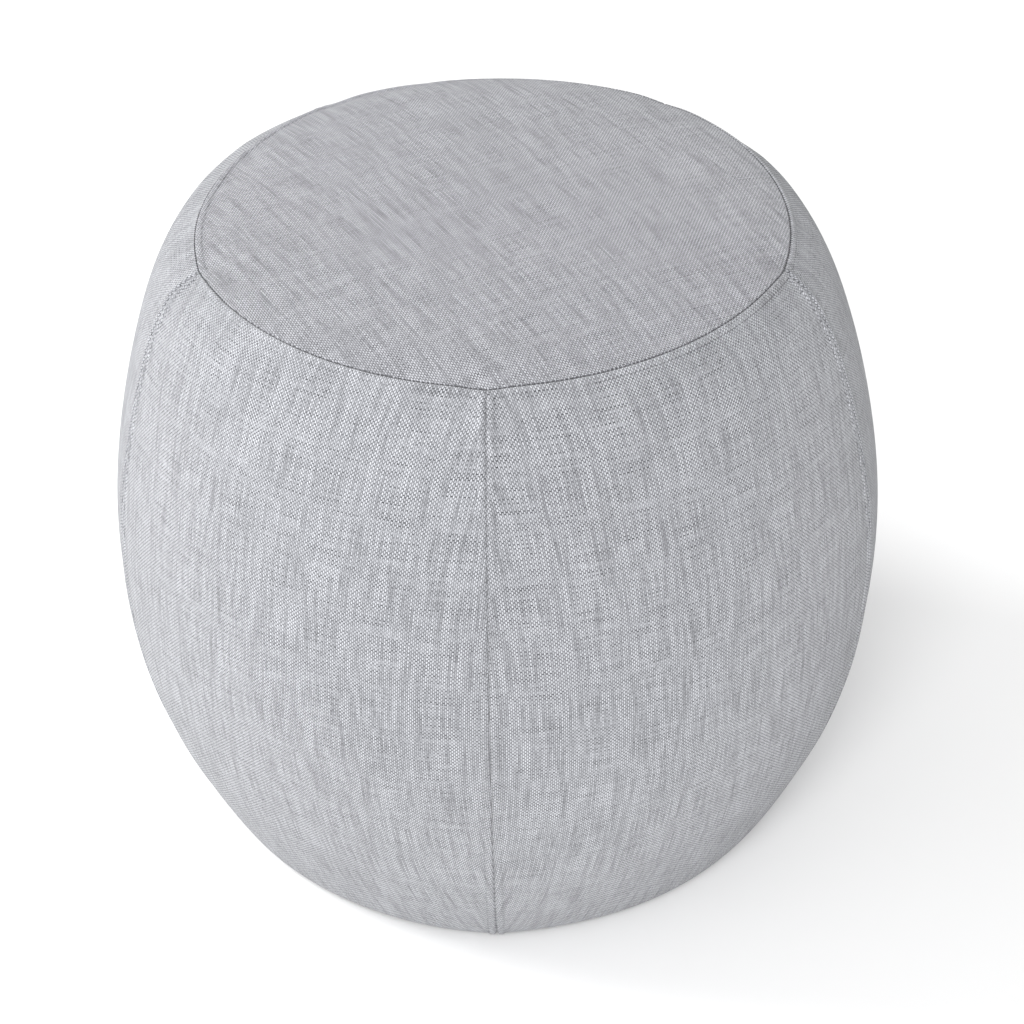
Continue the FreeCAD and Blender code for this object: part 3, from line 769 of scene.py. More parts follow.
class Finish:
    """A procedural material while it is put together."""

    def __init__(self, name, roughness, sheen=0.0, metallic=0.0, specular=0.5):
        self.material = bpy.data.materials.new(name)
        self.material.use_nodes = True
        self.nodes = self.material.node_tree.nodes
        self.links = self.material.node_tree.links
        self.shader = next(node for node in self.nodes if node.type == "BSDF_PRINCIPLED")
        self.shader.inputs["Roughness"].default_value = roughness
        self.shader.inputs["Sheen Weight"].default_value = sheen
        self.shader.inputs["Metallic"].default_value = metallic
        self.shader.inputs["Specular IOR Level"].default_value = specular

    def add(self, kind, **settings):
        node = self.nodes.new("ShaderNode" + kind)
        for name, value in settings.items():
            setattr(node, name, value)
        return node

    def feed(self, socket, value):
        """Link a socket, or set it where the value is a plain number."""
        if isinstance(value, bpy.types.NodeSocket):
            self.links.new(value, socket)
        elif value is not None:
            socket.default_value = value

    def math(self, operation, first, second=None, third=None):
        node = self.add("Math", operation=operation)
        for socket, value in zip(node.inputs, (first, second, third)):
            self.feed(socket, value)
        return node.outputs[0]

    def object_place(self):
        return self.add("TexCoord").outputs["Object"]

    def flat_place(self):
        return self.add("UVMap", uv_map="cloth").outputs["UV"]

    def scaled(self, vector, scale, turn=0.0):
        node = self.add("Mapping")
        node.inputs["Scale"].default_value = scale
        node.inputs["Rotation"].default_value = (0, 0, turn)
        self.feed(node.inputs["Vector"], vector)
        return node.outputs[0]

    def parts(self, vector):
        node = self.add("SeparateXYZ")
        self.feed(node.inputs[0], vector)
        return node.outputs

    def joined(self, x, y, z=0.0):
        node = self.add("CombineXYZ")
        for socket, value in zip(node.inputs, (x, y, z)):
            self.feed(socket, value)
        return node.outputs[0]

    def noise(self, vector, scale, detail=2.0, roughness=0.5):
        node = self.add("TexNoise")
        self.feed(node.inputs["Vector"], vector)
        node.inputs["Scale"].default_value = scale
        node.inputs["Detail"].default_value = detail
        node.inputs["Roughness"].default_value = roughness
        return node.outputs[0]

    def cells(self, vector, scale, feature="F1"):
        node = self.add("TexVoronoi", feature=feature)
        self.feed(node.inputs["Vector"], vector)
        node.inputs["Scale"].default_value = scale
        return node.outputs["Distance"]

    def spread(self, value, low, high, to_low=0.0, to_high=1.0):
        node = self.add("MapRange")
        for socket, number in zip(node.inputs, (value, low, high, to_low, to_high)):
            self.feed(socket, number)
        return node.outputs[0]

    def blend(self, share, first, second):
        node = self.add("Mix", data_type="RGBA")
        self.feed(node.inputs["Factor"], share)
        self.feed(node.inputs[6], first)
        self.feed(node.inputs[7], second)
        return node.outputs[2]

    def threads(self, pitch, turn=0.0):
        """Places on flat cloth along its two directions, counted in threads of that pitch."""
        place = self.parts(self.scaled(self.flat_place(), (1 / pitch,) * 3, turn))
        return place[0], place[1]

    def tinted(self, pattern, span, tones):
        """Colour between two tones, as a pattern goes over a span."""
        return self.blend(self.spread(pattern, *span), *tones)

    def colour(self, value):
        self.feed(self.shader.inputs["Base Color"], value)

    def roughness(self, value):
        self.feed(self.shader.inputs["Roughness"], value)

    def bump(self, height, distance, strength=1.0):
        node = self.add("Bump")
        node.inputs["Strength"].default_value = strength
        node.inputs["Distance"].default_value = distance
        self.feed(node.inputs["Height"], height)
        self.links.new(node.outputs[0], self.shader.inputs["Normal"])


def weave(finish, warp, weft):
    """Heights of crossing threads, and 1 where the warp lies on top of the weft."""
    column = finish.math("FLOOR", warp)
    row = finish.math("FLOOR", weft)
    heights = []
    for across, along, lane, shift in ((warp, weft, column, -0.5), (weft, warp, row, 0.5)):
        rounded = finish.math("SINE", finish.math("MULTIPLY", finish.math("FRACT", across), math.pi))
        phase = finish.math("ADD", finish.math("ADD", along, lane), shift)
        over = finish.math("COSINE", finish.math("MULTIPLY", phase, math.pi))
        lift = finish.math("MULTIPLY_ADD", over, THREAD_SWING, THREAD_LEVEL)
        heights.append(finish.math("MULTIPLY", rounded, lift))
    height = finish.math("MAXIMUM", heights[0], heights[1])
    warp_on_top = finish.math("GREATER_THAN", heights[0], heights[1])
    return height, warp_on_top


def yarn_tone(finish, across, along, seed, mean, shares):
    """Light and dark along the yarns: each thread's slubs, wider streaks and a fleck at each crossing."""
    lane = finish.math("FLOOR", across)
    slub_place = finish.joined(lane, finish.math("MULTIPLY", along, SLUB_RATE), seed)
    streak_place = finish.joined(finish.math("MULTIPLY", across, STREAK_RATE),
                                 finish.math("MULTIPLY", along, STREAK_RATE * STREAK_SHAPE),
                                 seed + STREAK_SEED)
    fleck_place = finish.joined(lane, finish.math("FLOOR", along), seed + FLECK_SEED)
    patterns = (finish.noise(slub_place, scale=1.0, detail=2.0),
                finish.noise(streak_place, scale=1.0, detail=3.0),
                finish.noise(fleck_place, scale=FLECK_SCALE, detail=1.0))
    tone = mean - sum(shares) / 2
    for pattern, share in zip(patterns, shares):
        tone = finish.math("MULTIPLY_ADD", pattern, share, tone)
    return tone


def cover_cloth(name, light_yarn):
    """Plain weave of a light and a mid grey melange yarn."""
    finish = Finish(name, roughness=0.92, sheen=0.25, specular=0.2)
    warp, weft = finish.threads(THREAD_PITCH)
    height, warp_on_top = weave(finish, warp, weft)
    warp_tone = yarn_tone(finish, warp, weft, WARP_SEED, WARP_TONE, WARP_SHARES)
    weft_tone = yarn_tone(finish, weft, warp, WEFT_SEED, WEFT_TONE, WEFT_SHARES)
    shade = finish.math("MULTIPLY_ADD", warp_on_top, finish.math("SUBTRACT", warp_tone, weft_tone), weft_tone)
    yarn = finish.blend(shade, DARK_YARN, light_yarn)
    # Painted shade: the yarn colour turns near black where the weave's height is lowest, between the threads.
    finish.colour(finish.tinted(height, YARN_GAP_SHADE_SPAN, (YARN_GAP_SHADE, yarn)))
    finish.bump(height, distance=0.0005, strength=0.9)
    return finish.material


def wadding_fibre():
    """White bonded wadding, matted fibres."""
    finish = Finish("wadding_fibre", roughness=0.95, sheen=0.3, specular=0.1)
    tufts = finish.noise(finish.object_place(), scale=180.0, detail=4.0, roughness=0.7)
    finish.colour(finish.tinted(tufts, NOISE_SPAN, WADDING_TONES))
    finish.bump(tufts, distance=0.002, strength=0.7)
    return finish.material


def foam_cells():
    """Cream polyurethane foam with open cells, painted darker in each pore as painted shade."""
    finish = Finish("foam_cells", roughness=0.9, specular=0.15)
    place = finish.object_place()
    cells = finish.cells(place, scale=700.0)
    patches = finish.noise(place, scale=9.0, detail=3.0)
    tint = finish.tinted(patches, NOISE_SPAN, FOAM_TONES)
    # Painted shade: darker colour towards the middle of each cell, in the pores.
    finish.colour(finish.tinted(cells, PORE_SPAN, (FOAM_PORE_SHADE, tint)))
    finish.bump(cells, distance=0.0006, strength=0.6)
    return finish.material


def spunbond():
    """Black base cloth of pressed fibres with rows of bonding points."""
    finish = Finish("spunbond", roughness=0.85, sheen=0.15, specular=0.2)
    dots = []
    for axis in finish.threads(BOND_PITCH, BOND_TURN):
        middle = finish.math("SUBTRACT", finish.math("FRACT", axis), 0.5)
        dots.append(finish.math("POWER", middle, 2.0))
    reach = finish.math("SQRT", finish.math("ADD", dots[0], dots[1]))
    bond = finish.spread(reach, *BOND_SPAN)
    fibres = finish.noise(finish.flat_place(), scale=900.0, detail=4.0, roughness=0.7)
    height = finish.math("MULTIPLY_ADD", fibres, FIBRE_RISE, bond)
    tone = finish.math("MULTIPLY_ADD", fibres, FIBRE_TONE, finish.math("MULTIPLY", bond, 1 - FIBRE_TONE))
    finish.colour(finish.blend(tone, *BASE_CLOTH_TONES))
    finish.bump(height, distance=0.0004, strength=0.8)
    return finish.material


def zip_ribbon():
    """Grey zip tape in a fine weave."""
    finish = Finish("zip_ribbon", roughness=0.85, sheen=0.1, specular=0.25)
    height, warp_on_top = weave(finish, *finish.threads(RIBBON_PITCH))
    yarn = finish.blend(warp_on_top, *RIBBON_TONES)
    # Painted shade: the tape darkens where the weave's height is lowest, between the threads.
    finish.colour(finish.tinted(height, RIBBON_GAP_SHADE_SPAN, (RIBBON_GAP_SHADE, yarn)))
    finish.bump(height, distance=0.0002, strength=0.7)
    return finish.material


def coil_nylon():
    """Grey nylon with a satin surface."""
    finish = Finish("coil_nylon", roughness=0.4, specular=0.5)
    tone = finish.noise(finish.object_place(), scale=400.0, detail=2.0)
    finish.colour(finish.tinted(tone, NOISE_SPAN, NYLON_TONES))
    finish.roughness(finish.spread(tone, *NOISE_SPAN, to_low=0.34, to_high=0.5))
    finish.bump(tone, distance=0.0001, strength=0.4)
    return finish.material


def nickel():
    """Satin nickel plate with fine handling marks."""
    finish = Finish("nickel", roughness=0.3, metallic=1.0)
    place = finish.object_place()
    marks = finish.noise(finish.scaled(place, (900.0, 90.0, 900.0)), scale=1.0, detail=4.0, roughness=0.7)
    dull = finish.noise(place, scale=220.0, detail=3.0)
    finish.colour(finish.tinted(dull, DULL_SPAN, NICKEL_TONES))
    finish.roughness(finish.spread(marks, *NOISE_SPAN, to_low=0.22, to_high=0.42))
    finish.bump(marks, distance=0.00004, strength=0.4)
    return finish.material


def zinc_plate():
    """Bright zinc plate with a faint spangle."""
    finish = Finish("zinc_plate", roughness=0.32, metallic=1.0)
    place = finish.object_place()
    spangle = finish.cells(place, scale=650.0)
    finish.colour(finish.tinted(spangle, SPANGLE_SPAN, ZINC_TONES))
    finish.roughness(finish.spread(spangle, *SPANGLE_SPAN, to_low=0.26, to_high=0.42))
    finish.bump(finish.noise(place, scale=1200.0, detail=3.0), distance=0.00003, strength=0.4)
    return finish.material


def glide_plastic():
    """Black moulded plastic with a fine spark texture, paler where it rubs the floor."""
    finish = Finish("glide_plastic", roughness=0.5, specular=0.45)
    place = finish.object_place()
    grain = finish.noise(place, scale=2500.0, detail=3.0, roughness=0.6)
    scuffs = finish.noise(finish.scaled(place, (260.0, 60.0, 260.0)), scale=1.0, detail=4.0, roughness=0.65)
    low = finish.spread(finish.parts(place)[2], 0.0, RUBBED_HEIGHT, to_low=1.0, to_high=0.0)
    rubbed = finish.math("MULTIPLY", low, finish.spread(scuffs, *SCUFF_SPAN))
    finish.colour(finish.blend(rubbed, *GLIDE_TONES))
    finish.roughness(finish.spread(grain, *NOISE_SPAN, to_low=0.42, to_high=0.62))
    finish.bump(grain, distance=0.00006, strength=0.6)
    return finish.material


def plywood():
    """Birch plywood: grain on the faces and thin plies round the edge."""
    finish = Finish("plywood", roughness=0.6, specular=0.3)
    place = finish.object_place()
    grain = finish.noise(finish.scaled(place, (6.0, 140.0, 40.0)), scale=1.0, detail=4.0, roughness=0.6)
    face = finish.tinted(grain, NOISE_SPAN, WOOD_TONES)
    plies = finish.math("FRACT", finish.math("MULTIPLY", finish.parts(place)[2], 1 / PLY_PITCH))
    edge = finish.blend(finish.math("GREATER_THAN", plies, 0.5), *PLY_TONES)
    upright = finish.math("ABSOLUTE", finish.parts(finish.add("NewGeometry").outputs["Normal"])[2])
    finish.colour(finish.blend(finish.math("GREATER_THAN", upright, 0.5), edge, face))
    finish.bump(grain, distance=0.0003, strength=0.4)
    return finish.material


def sewing_thread(name, tones):
    """Twisted sewing thread between two tones of grey."""
    finish = Finish(name, roughness=0.7, sheen=0.1, specular=0.3)
    twist = finish.noise(finish.object_place(), scale=3000.0, detail=1.0)
    finish.colour(finish.tinted(twist, NOISE_SPAN, tones))
    finish.bump(twist, distance=0.0001, strength=0.5)
    return finish.material


def floor_paint():
    """Pale studio floor, very slightly mottled."""
    finish = Finish("floor_paint", roughness=0.7, specular=0.2)
    tone = finish.noise(finish.object_place(), scale=1.5, detail=2.0)
    finish.colour(finish.tinted(tone, NOISE_SPAN, FLOOR_TONES))
    return finish.material


def build_cover():
    """Five side panels, and the top with its grain turned and its yarn painted darker as painted shade on the
    upward face.
    """
    cloth = cover_cloth("side_cloth", SIDE_YARN)
    for name, middle in PANEL_MIDDLES.items():
        piece, flat, area = side_cloth("cover_side_" + name, middle)
        thicken(piece, FABRIC)
        dress(piece, cloth, replaces=["side_panel_" + name])
    piece, flat, area = top_cloth("cover_top")
    thicken(piece, FABRIC)
    # The top panel gets its own copy of the cloth, its yarn painted darker as painted shade.
    dress(piece, cover_cloth("top_cloth", TOP_YARN_PAINTED_SHADE), replaces=["top_panel"])


def inset_side(inset, top, foot):
    """Outline of the side, inset by a depth, between two levels."""
    points = OUTLINE.points - inset * OUTLINE.normals
    upper = points[OUTLINE.along < OUTLINE.rim_start()]
    levels = np.linspace(top, foot, max(2, round((top - foot) / FILLING_STEP)))
    return np.stack([np.interp(-levels, -upper[:, 1], upper[:, 0]), levels], axis=1)


def inset_crown(inset, reach):
    """Outline of the domed top, inset by a depth, from the axis out to a distance."""
    radius = np.linspace(0.0, reach, round(reach / FILLING_STEP))
    return np.stack([radius, crown_level(radius) - inset], axis=1)


def swept_body(name, outline):
    """A closed body with that outline, swept round with the side panels' shape."""
    degrees = np.arange(0.0, 360.0, FILLING_DEG)
    radius = barrel_radius(outline[:, :1], off_middle(degrees))
    points = to_space(radius, outline[:, 1:], degrees)
    faces = grid_faces(len(outline), len(degrees), closed=True)
    piece = mesh_piece(name, points.reshape(-1, 3), faces)
    merge_doubles(piece)
    return piece


def side_wadding():
    """Wadding round the sides, turned under into the rolled rim."""
    top = TOP_SEAM_HEIGHT - WADDING_IN
    rim = np.linspace(OUTLINE.rim_start(), OUTLINE.length - HEM_LENGTH, WADDING_RIM_POINTS)
    radius, height, facing = OUTLINE.at(rim)
    roll = np.stack([radius, height], axis=1) - WADDING_OUT * facing
    outer = inset_side(WADDING_OUT, top, roll[0, 1])
    inner = inset_side(WADDING_IN, top, FOAM_FOOT - LAYER_GAP)[::-1]
    step_up = np.array([[roll[-1, 0], FOAM_FOOT - LAYER_GAP]])
    outline = np.concatenate([outer, roll[1:], step_up, inner, outer[:1]])
    return swept_body("wadding_sides", outline)


def top_wadding():
    """A domed pad of wadding under the top panel."""
    reach = TOP_SEAM_RADIUS - WADDING_IN
    outer = inset_crown(WADDING_OUT, reach)
    inner = inset_crown(WADDING_IN, reach)[::-1]
    bulge = np.array([[reach + WADDING_OUT / 2, (outer[-1, 1] + inner[0, 1]) / 2]])
    return swept_body("wadding_top", np.concatenate([outer, bulge, inner]))


def seat_foam():
    """Crowned seat foam with an eased upper edge."""
    edge = inset_side(FOAM_OUT, TOP_SEAM_HEIGHT - FOAM_OUT - FOAM_EDGE, SEAT_FOAM_LEVEL)
    crown = inset_crown(FOAM_OUT, edge[0, 0] - 2 * FOAM_EDGE)
    floor = np.array([[0.0, SEAT_FOAM_LEVEL]])
    return swept_body("foam_seat", np.concatenate([crown, edge, floor]))


def core_foam():
    """Firm foam body, hollowed underneath for the board and its tee nuts."""
    roof = BOARD_TOP + NUT_ROOM
    side = inset_side(FOAM_OUT, SEAT_FOAM_LEVEL - LAYER_GAP, FOAM_FOOT)
    hollow = BOARD_RADIUS + LAYER_GAP
    under = np.array([[hollow, FOAM_FOOT], [hollow, roof], [0.0, roof]])
    top = np.array([[0.0, SEAT_FOAM_LEVEL - LAYER_GAP]])
    return swept_body("foam_core", np.concatenate([top, side, under]))


def build_filling():
    """Wadding and foam, each dressed in its finish in place of its node."""
    wadding = wadding_fibre()
    foam = foam_cells()
    pads = [
        (side_wadding(), wadding, "wadding", "side_wadding", 0.7),
        (top_wadding(), wadding, "wadding", "top_wadding", 0.7),
        (seat_foam(), foam, "foam", "seat_foam", 0.9),
        (core_foam(), foam, "foam", "core_foam", 1.0),
    ]
    for piece, finish, slot, node, fill in pads:
        dress(piece, finish, replaces=[node])


def glide_centres():
    """Middle of each glide, from the frame."""
    centres = {}
    for name in GLIDES:
        low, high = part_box("glide_" + name)
        centres[name] = (low + high) / 2
    return centres


def base_sag(points):
    """How far the base cloth hangs between the glides that clamp it."""
    held = np.zeros(points.shape[:-1])
    for centre in glide_centres().values():
        reach = np.hypot(points[..., 0] - centre.x, points[..., 1] - centre.y)
        held = np.maximum(held, 1 - smooth_step(reach, GLIDE_RADIUS, GLIDE_RADIUS + BASE_SAG_EASE))
    rim = 1 - (np.hypot(points[..., 0], points[..., 1]) / BASE_CLOTH_RADIUS) ** BASE_SAG_POWER
    return BASE_SAG * (1 - held) * np.clip(rim, 0, 1)


def base_cloth_piece():
    """Base cloth with the tab at the back that stays sewn to the hem."""
    tab = np.linspace(TAB_START_DEG, TAB_END_DEG, TAB_COLUMNS)
    rest = np.linspace(TAB_END_DEG, TAB_START_DEG + 360, REST_COLUMNS)[1:-1]
    degrees = np.concatenate([tab, rest])
    rings = np.linspace(0.0, BASE_CLOTH_RADIUS, round(BASE_CLOTH_RADIUS / CLOTH_STEP))
    disc = to_space(rings[:, None], BASE_LEVEL, degrees)
    disc[..., 2] -= base_sag(disc)
    tab_rings = np.linspace(BASE_CLOTH_RADIUS, TAB_RADIUS, TAB_ROWS)
    flap = to_space(tab_rings[:, None], BASE_LEVEL, tab)
    faces = grid_faces(len(rings), len(degrees), closed=True)
    flap_faces = grid_faces(len(tab_rings), len(tab)) + disc.size // 3
    points = np.concatenate([disc.reshape(-1, 3), flap.reshape(-1, 3)])
    faces = np.concatenate([faces, flap_faces])[:, ::-1]
    piece = mesh_piece("base_cloth", points, faces, points[:, :2])
    merge_doubles(piece)
    face_down(piece)
    return piece


def face_down(piece):
    """Turn a flat sheet's faces towards the floor."""
    if piece.data.polygons[0].normal.z > 0:
        piece.data.flip_normals()


def ring_strip(name, inner, outer, level):
    """A flat tape that follows the zip, facing the floor."""
    overrun = math.degrees(TAPE_OVERRUN / ZIP_RADIUS)
    degrees = np.linspace(ZIP_START_DEG - overrun, ZIP_END_DEG + overrun, TAPE_COLUMNS)
    radius = np.linspace(inner, outer, TAPE_ROWS)
    points = to_space(radius[:, None], level, degrees)
    along = np.radians(degrees) * (inner + outer) / 2 + 0 * radius[:, None]
    flat = np.stack([along, radius[:, None] + 0 * along], axis=-1)
    faces = grid_faces(*points.shape[:2])[:, ::-1]
    piece = mesh_piece(name, points.reshape(-1, 3), faces, flat.reshape(-1, 2))
    face_down(piece)
    thicken(piece, TAPE_TOP - TAPE_LEVEL)
    return piece, (outer - inner, float(along.max() - along.min()))


def build_base():
    """Base cloth and zip tapes, seen from underneath."""
    piece = base_cloth_piece()
    thicken(piece, TAPE_LEVEL - BASE_LEVEL)
    dress(piece, spunbond(), replaces=["base_panel"])
    flat = (2 * BASE_CLOTH_RADIUS, BASE_CLOTH_RADIUS + TAB_RADIUS)
    ribbon = zip_ribbon()
    edge = ZIP_HALF_GAP + TAPE_WIDTH
    tapes = {"outer": (ZIP_RADIUS + ZIP_SLIT_HALF, ZIP_RADIUS + edge),
             "inner": (ZIP_RADIUS - edge, ZIP_RADIUS - ZIP_SLIT_HALF)}
    for side, (low, high) in tapes.items():
        piece, flat = ring_strip("zip_ribbon_" + side, low, high, TAPE_LEVEL)
        dress(piece, ribbon, replaces=["zip_tape_" + side])


def settle(piece, place):
    """Put a piece in its place, with the place in its mesh."""
    select_only(piece)
    piece.matrix_world = place @ piece.matrix_world
    bpy.ops.object.transform_apply(location=True, rotation=True, scale=True)


def block(size, place=(0, 0, 0)):
    """A box of that size, ready to be shaped."""
    bpy.ops.object.select_all(action="DESELECT")
    bpy.ops.mesh.primitive_cube_add(size=1.0, location=place)
    piece = bpy.context.object
    piece.scale = size
    bpy.ops.object.transform_apply(location=True, rotation=True, scale=True)
    return piece


def rod(radius, length, place=(0, 0, 0), turn=(0, 0, 0), sides=32):
    """A round bar, ready to be shaped."""
    bpy.ops.object.select_all(action="DESELECT")
    bpy.ops.mesh.primitive_cylinder_add(vertices=sides, radius=radius, depth=length,
                                        location=place, rotation=turn)
    bpy.ops.object.transform_apply(location=True, rotation=True, scale=True)
    return bpy.context.object


def combine(piece, other, operation):
    """Weld another shape to a piece, or cut it away."""
    carve = piece.modifiers.new("carve", "BOOLEAN")
    carve.operation = operation
    carve.object = other
    apply_modifiers(piece)
    bpy.data.objects.remove(other)


def soften(piece, width, segments=2):
    """Round off a piece's sharp edges."""
    edge = piece.modifiers.new("soft_edges", "BEVEL")
    edge.width = width
    edge.segments = segments
    edge.limit_method = "ANGLE"
    edge.angle_limit = SHARP_ANGLE
    apply_modifiers(piece)
    bpy.ops.object.shade_smooth_by_angle(angle=SHARP_ANGLE)


def copies(name, model, places):
    """One piece made of copies of a small model, which is used up."""
    mesh = model.data
    points = np.array([vertex.co for vertex in mesh.vertices])
    faces = [tuple(face.vertices) for face in mesh.polygons]
    all_points = []
    all_faces = []
    for index, place in enumerate(places):
        turn = np.array(place)
        all_points.append(points @ turn[:3, :3].T + turn[:3, 3])
        start = index * len(points)
        all_faces += [tuple(start + corner for corner in face) for face in faces]
    joined = bpy.data.meshes.new(name)
    joined.from_pydata(np.concatenate(all_points).tolist(), [], all_faces)
    joined.polygons.foreach_set("use_smooth", np.ones(len(all_faces), bool))
    bpy.data.objects.remove(model)
    return put_in_scene(name, joined)


def round_zip(degrees, radius, level):
    """Place on a circle about the pouf's axis, X pointing outwards."""
    return Matrix.Rotation(math.radians(degrees), 4, "Z") @ Matrix.Translation((radius, 0, level))


def coil_tooth():
    """One turn of the zip's coil, a short bar with rounded ends, lying along X."""
    tooth = rod(0.5, 1.0, turn=(0, math.pi / 2, 0), sides=8)
    edit_all(tooth)
    bpy.ops.mesh.select_all(action="DESELECT")
    leave_edit()
    for face in tooth.data.polygons:
        face.select = abs(face.normal.x) > END_FACING
    bpy.ops.object.mode_set(mode="EDIT")
    bpy.ops.mesh.select_mode(type="FACE")
    bpy.ops.mesh.inset(thickness=TOOTH_INSET, depth=0.0)
    bpy.ops.transform.resize(value=(TOOTH_STRETCH, 1.0, 1.0))
    leave_edit()
    length = ZIP_HALF_GAP + COIL_WIDTH - ZIP_SLIT_HALF
    settle(tooth, Matrix.Diagonal((length / TOOTH_STRETCH, TOOTH_WIDTH, TAPE_LEVEL - COIL_LEVEL, 1)))
    return tooth


def build_coils():
    """Both rows of coil turns, set half a step apart so that they look closed."""
    nylon = coil_nylon()
    step = math.degrees(TOOTH_PITCH / ZIP_RADIUS)
    level = (COIL_LEVEL + TAPE_LEVEL) / 2
    middle = (ZIP_SLIT_HALF + ZIP_HALF_GAP + COIL_WIDTH) / 2
    for side, radius, shift in (("outer", ZIP_RADIUS + middle, 0.25), ("inner", ZIP_RADIUS - middle, 0.75)):
        angles = np.arange(ZIP_START_DEG + shift * step, ZIP_END_DEG, step)
        places = [round_zip(angle, radius, level) for angle in angles]
        piece = copies("zip_teeth_" + side, coil_tooth(), places)
        dress(piece, nylon, replaces=["zip_coil_" + side])


def build_stops(metal):
    """A clip across both coils at each end of the zip."""
    clip = block((2 * (ZIP_HALF_GAP + COIL_WIDTH), STOP_LENGTH, STOP_HEIGHT))
    soften(clip, STOP_EASE, 3)
    inset = math.degrees((STOP_INSET + STOP_LENGTH / 2) / ZIP_RADIUS)
    level = COIL_LEVEL - STOP_HEIGHT / 2
    places = [round_zip(angle, ZIP_RADIUS, level) for angle in (ZIP_START_DEG + inset, ZIP_END_DEG - inset)]
    piece = copies("zip_end_clips", clip, places)
    dress(piece, metal, replaces=["zip_stops"])


def slider_section():
    """Half of the slider's cross-section, from the plate's edge to the top plate."""
    lip_in = ZIP_HALF_GAP + COIL_WIDTH + RUN_GAP
    lip_out = lip_in + SLIDER_LIP
    plate_top = COIL_LEVEL - RUN_GAP
    plate_low = plate_top - SLIDER_PLATE
    cap_low = TAPE_TOP + RUN_GAP
    blade = SLIDER_BLADE / 2
    return [
        (lip_out, plate_low), (lip_out, plate_top + SLIDER_LIP_RISE),
        (lip_in, plate_top + SLIDER_LIP_RISE), (lip_in, plate_top),
        (blade, plate_top), (blade, cap_low),
        (SLIDER_CAP_HALF, cap_low), (SLIDER_CAP_HALF, cap_low + SLIDER_CAP),
    ]


def slider_body():
    """The slider's channel, drawn out along the zip and narrowed towards its tail."""
    half = slider_section()
    ring = half + [(-x, z) for x, z in reversed(half)]
    mesh = bpy.data.meshes.new("zip_slider_casting")
    start = -SLIDER_LENGTH / 2
    mesh.from_pydata([(x, start, z - PIN.z) for x, z in ring], [], [list(range(len(ring)))])
    body = put_in_scene("zip_slider_casting", mesh)
    edit_all(body)
    bpy.ops.transform.resize(value=(SLIDER_WAIST[0], 1, 1))
    for before, width in zip(SLIDER_WAIST, SLIDER_WAIST[1:]):
        advance = SLIDER_LENGTH / (len(SLIDER_WAIST) - 1)
        bpy.ops.mesh.extrude_region_move(TRANSFORM_OT_translate={"value": (0, advance, 0)})
        bpy.ops.transform.resize(value=(width / before, 1, 1))
    bpy.ops.mesh.select_all(action="SELECT")
    bpy.ops.mesh.normals_make_consistent(inside=False)
    leave_edit()
    soften(body, SLIDER_EDGE)
    return body


def slider_bail():
    """The arched bail under the slider that the pull hangs from."""
    plate_low = COIL_LEVEL - RUN_GAP - SLIDER_PLATE - PIN.z
    reach = BRIDGE_LENGTH / 2 - BRIDGE_WIRE
    bpy.ops.object.select_all(action="DESELECT")
    bpy.ops.mesh.primitive_torus_add(major_segments=40, minor_segments=12, major_radius=reach,
                                     minor_radius=BRIDGE_WIRE, rotation=(0, math.pi / 2, 0))
    bail = bpy.context.object
    bpy.ops.object.transform_apply(rotation=True)
    squeeze = BRIDGE_DROP / (reach + BRIDGE_WIRE)
    settle(bail, Matrix.Translation((0, 0, plate_low)) @ Matrix.Diagonal((BRIDGE_FLARE, 1, squeeze, 1)))
    edit_all(bail)
    bpy.ops.mesh.bisect(plane_co=(0, 0, plate_low + SLIDER_PLATE / 2), plane_no=(0, 0, 1),
                        clear_outer=True, use_fill=True)
    leave_edit()
    bpy.ops.object.shade_smooth_by_angle(angle=BAIL_SMOOTH_ANGLE)
    return bail


def build_slider(metal):
    """The slider's casting and its bail, joined and put on the zip."""
    body = slider_body()
    bail = slider_bail()
    select_only(body)
    bail.select_set(True)
    bpy.ops.object.join()
    turn = Matrix.Rotation(math.radians(SLIDER_DEG), 4, "Z")
    settle(body, Matrix.Translation(PIN) @ turn)
    dress(body, metal, body="slider", replaces=["zip_slider"])


def build_pull(metal):
    """Flat pull tab, hanging from the bail by its pin."""
    half_width = PULL_WIDTH / 2
    straight = PULL_LENGTH - half_width
    tab = block((PULL_WIDTH, straight, PULL_THICKNESS), (0, straight / 2, 0))
    tab.name = "zip_pull_tab"
    combine(tab, rod(half_width, PULL_THICKNESS, (0, straight, 0), sides=48), "UNION")
    hole = rod(PULL_HOLE, 2 * PULL_THICKNESS, (0, PULL_LENGTH - PULL_HOLE_INSET, 0))
    combine(tab, hole, "DIFFERENCE")
    window = block((PULL_WINDOW, 2 * PULL_WINDOW_END, 2 * PULL_THICKNESS))
    combine(tab, window, "DIFFERENCE")
    combine(tab, rod(PULL_PIN, PULL_WIDTH, turn=(0, math.pi / 2, 0), sides=20), "UNION")
    for side in (-1, 1):
        panel = block((PULL_WIDTH - 2 * PULL_BORDER, PULL_PANEL, PULL_SINK),
                      (0, PULL_PANEL_MIDDLE, side * PULL_THICKNESS / 2))
        combine(tab, panel, "DIFFERENCE")
    soften(tab, PULL_EDGE)
    droop = Matrix.Rotation(-math.radians(PULL_DROOP_DEG), 4, "X")
    turn = Matrix.Rotation(math.radians(SLIDER_DEG), 4, "Z")
    settle(tab, Matrix.Translation(PIN) @ turn @ droop)
    dress(tab, metal, body="pull", replaces=["zip_pull"])


def turned_piece(name, outline, centre):
    """Spin an outline of (distance, height) points about an upright axis."""
    points = [(centre.x + radius, centre.y, height) for radius, height in outline]
    edges = [(index, index + 1) for index in range(len(points) - 1)]
    mesh = bpy.data.meshes.new(name)
    mesh.from_pydata(points, edges, [])
    piece = put_in_scene(name, mesh)
    edit_all(piece)
    bpy.ops.mesh.spin(steps=SPIN_STEPS, angle=2 * math.pi, center=(centre.x, centre.y, 0), axis=(0, 0, 1))
    leave_edit()
    merge_doubles(piece)
    return piece


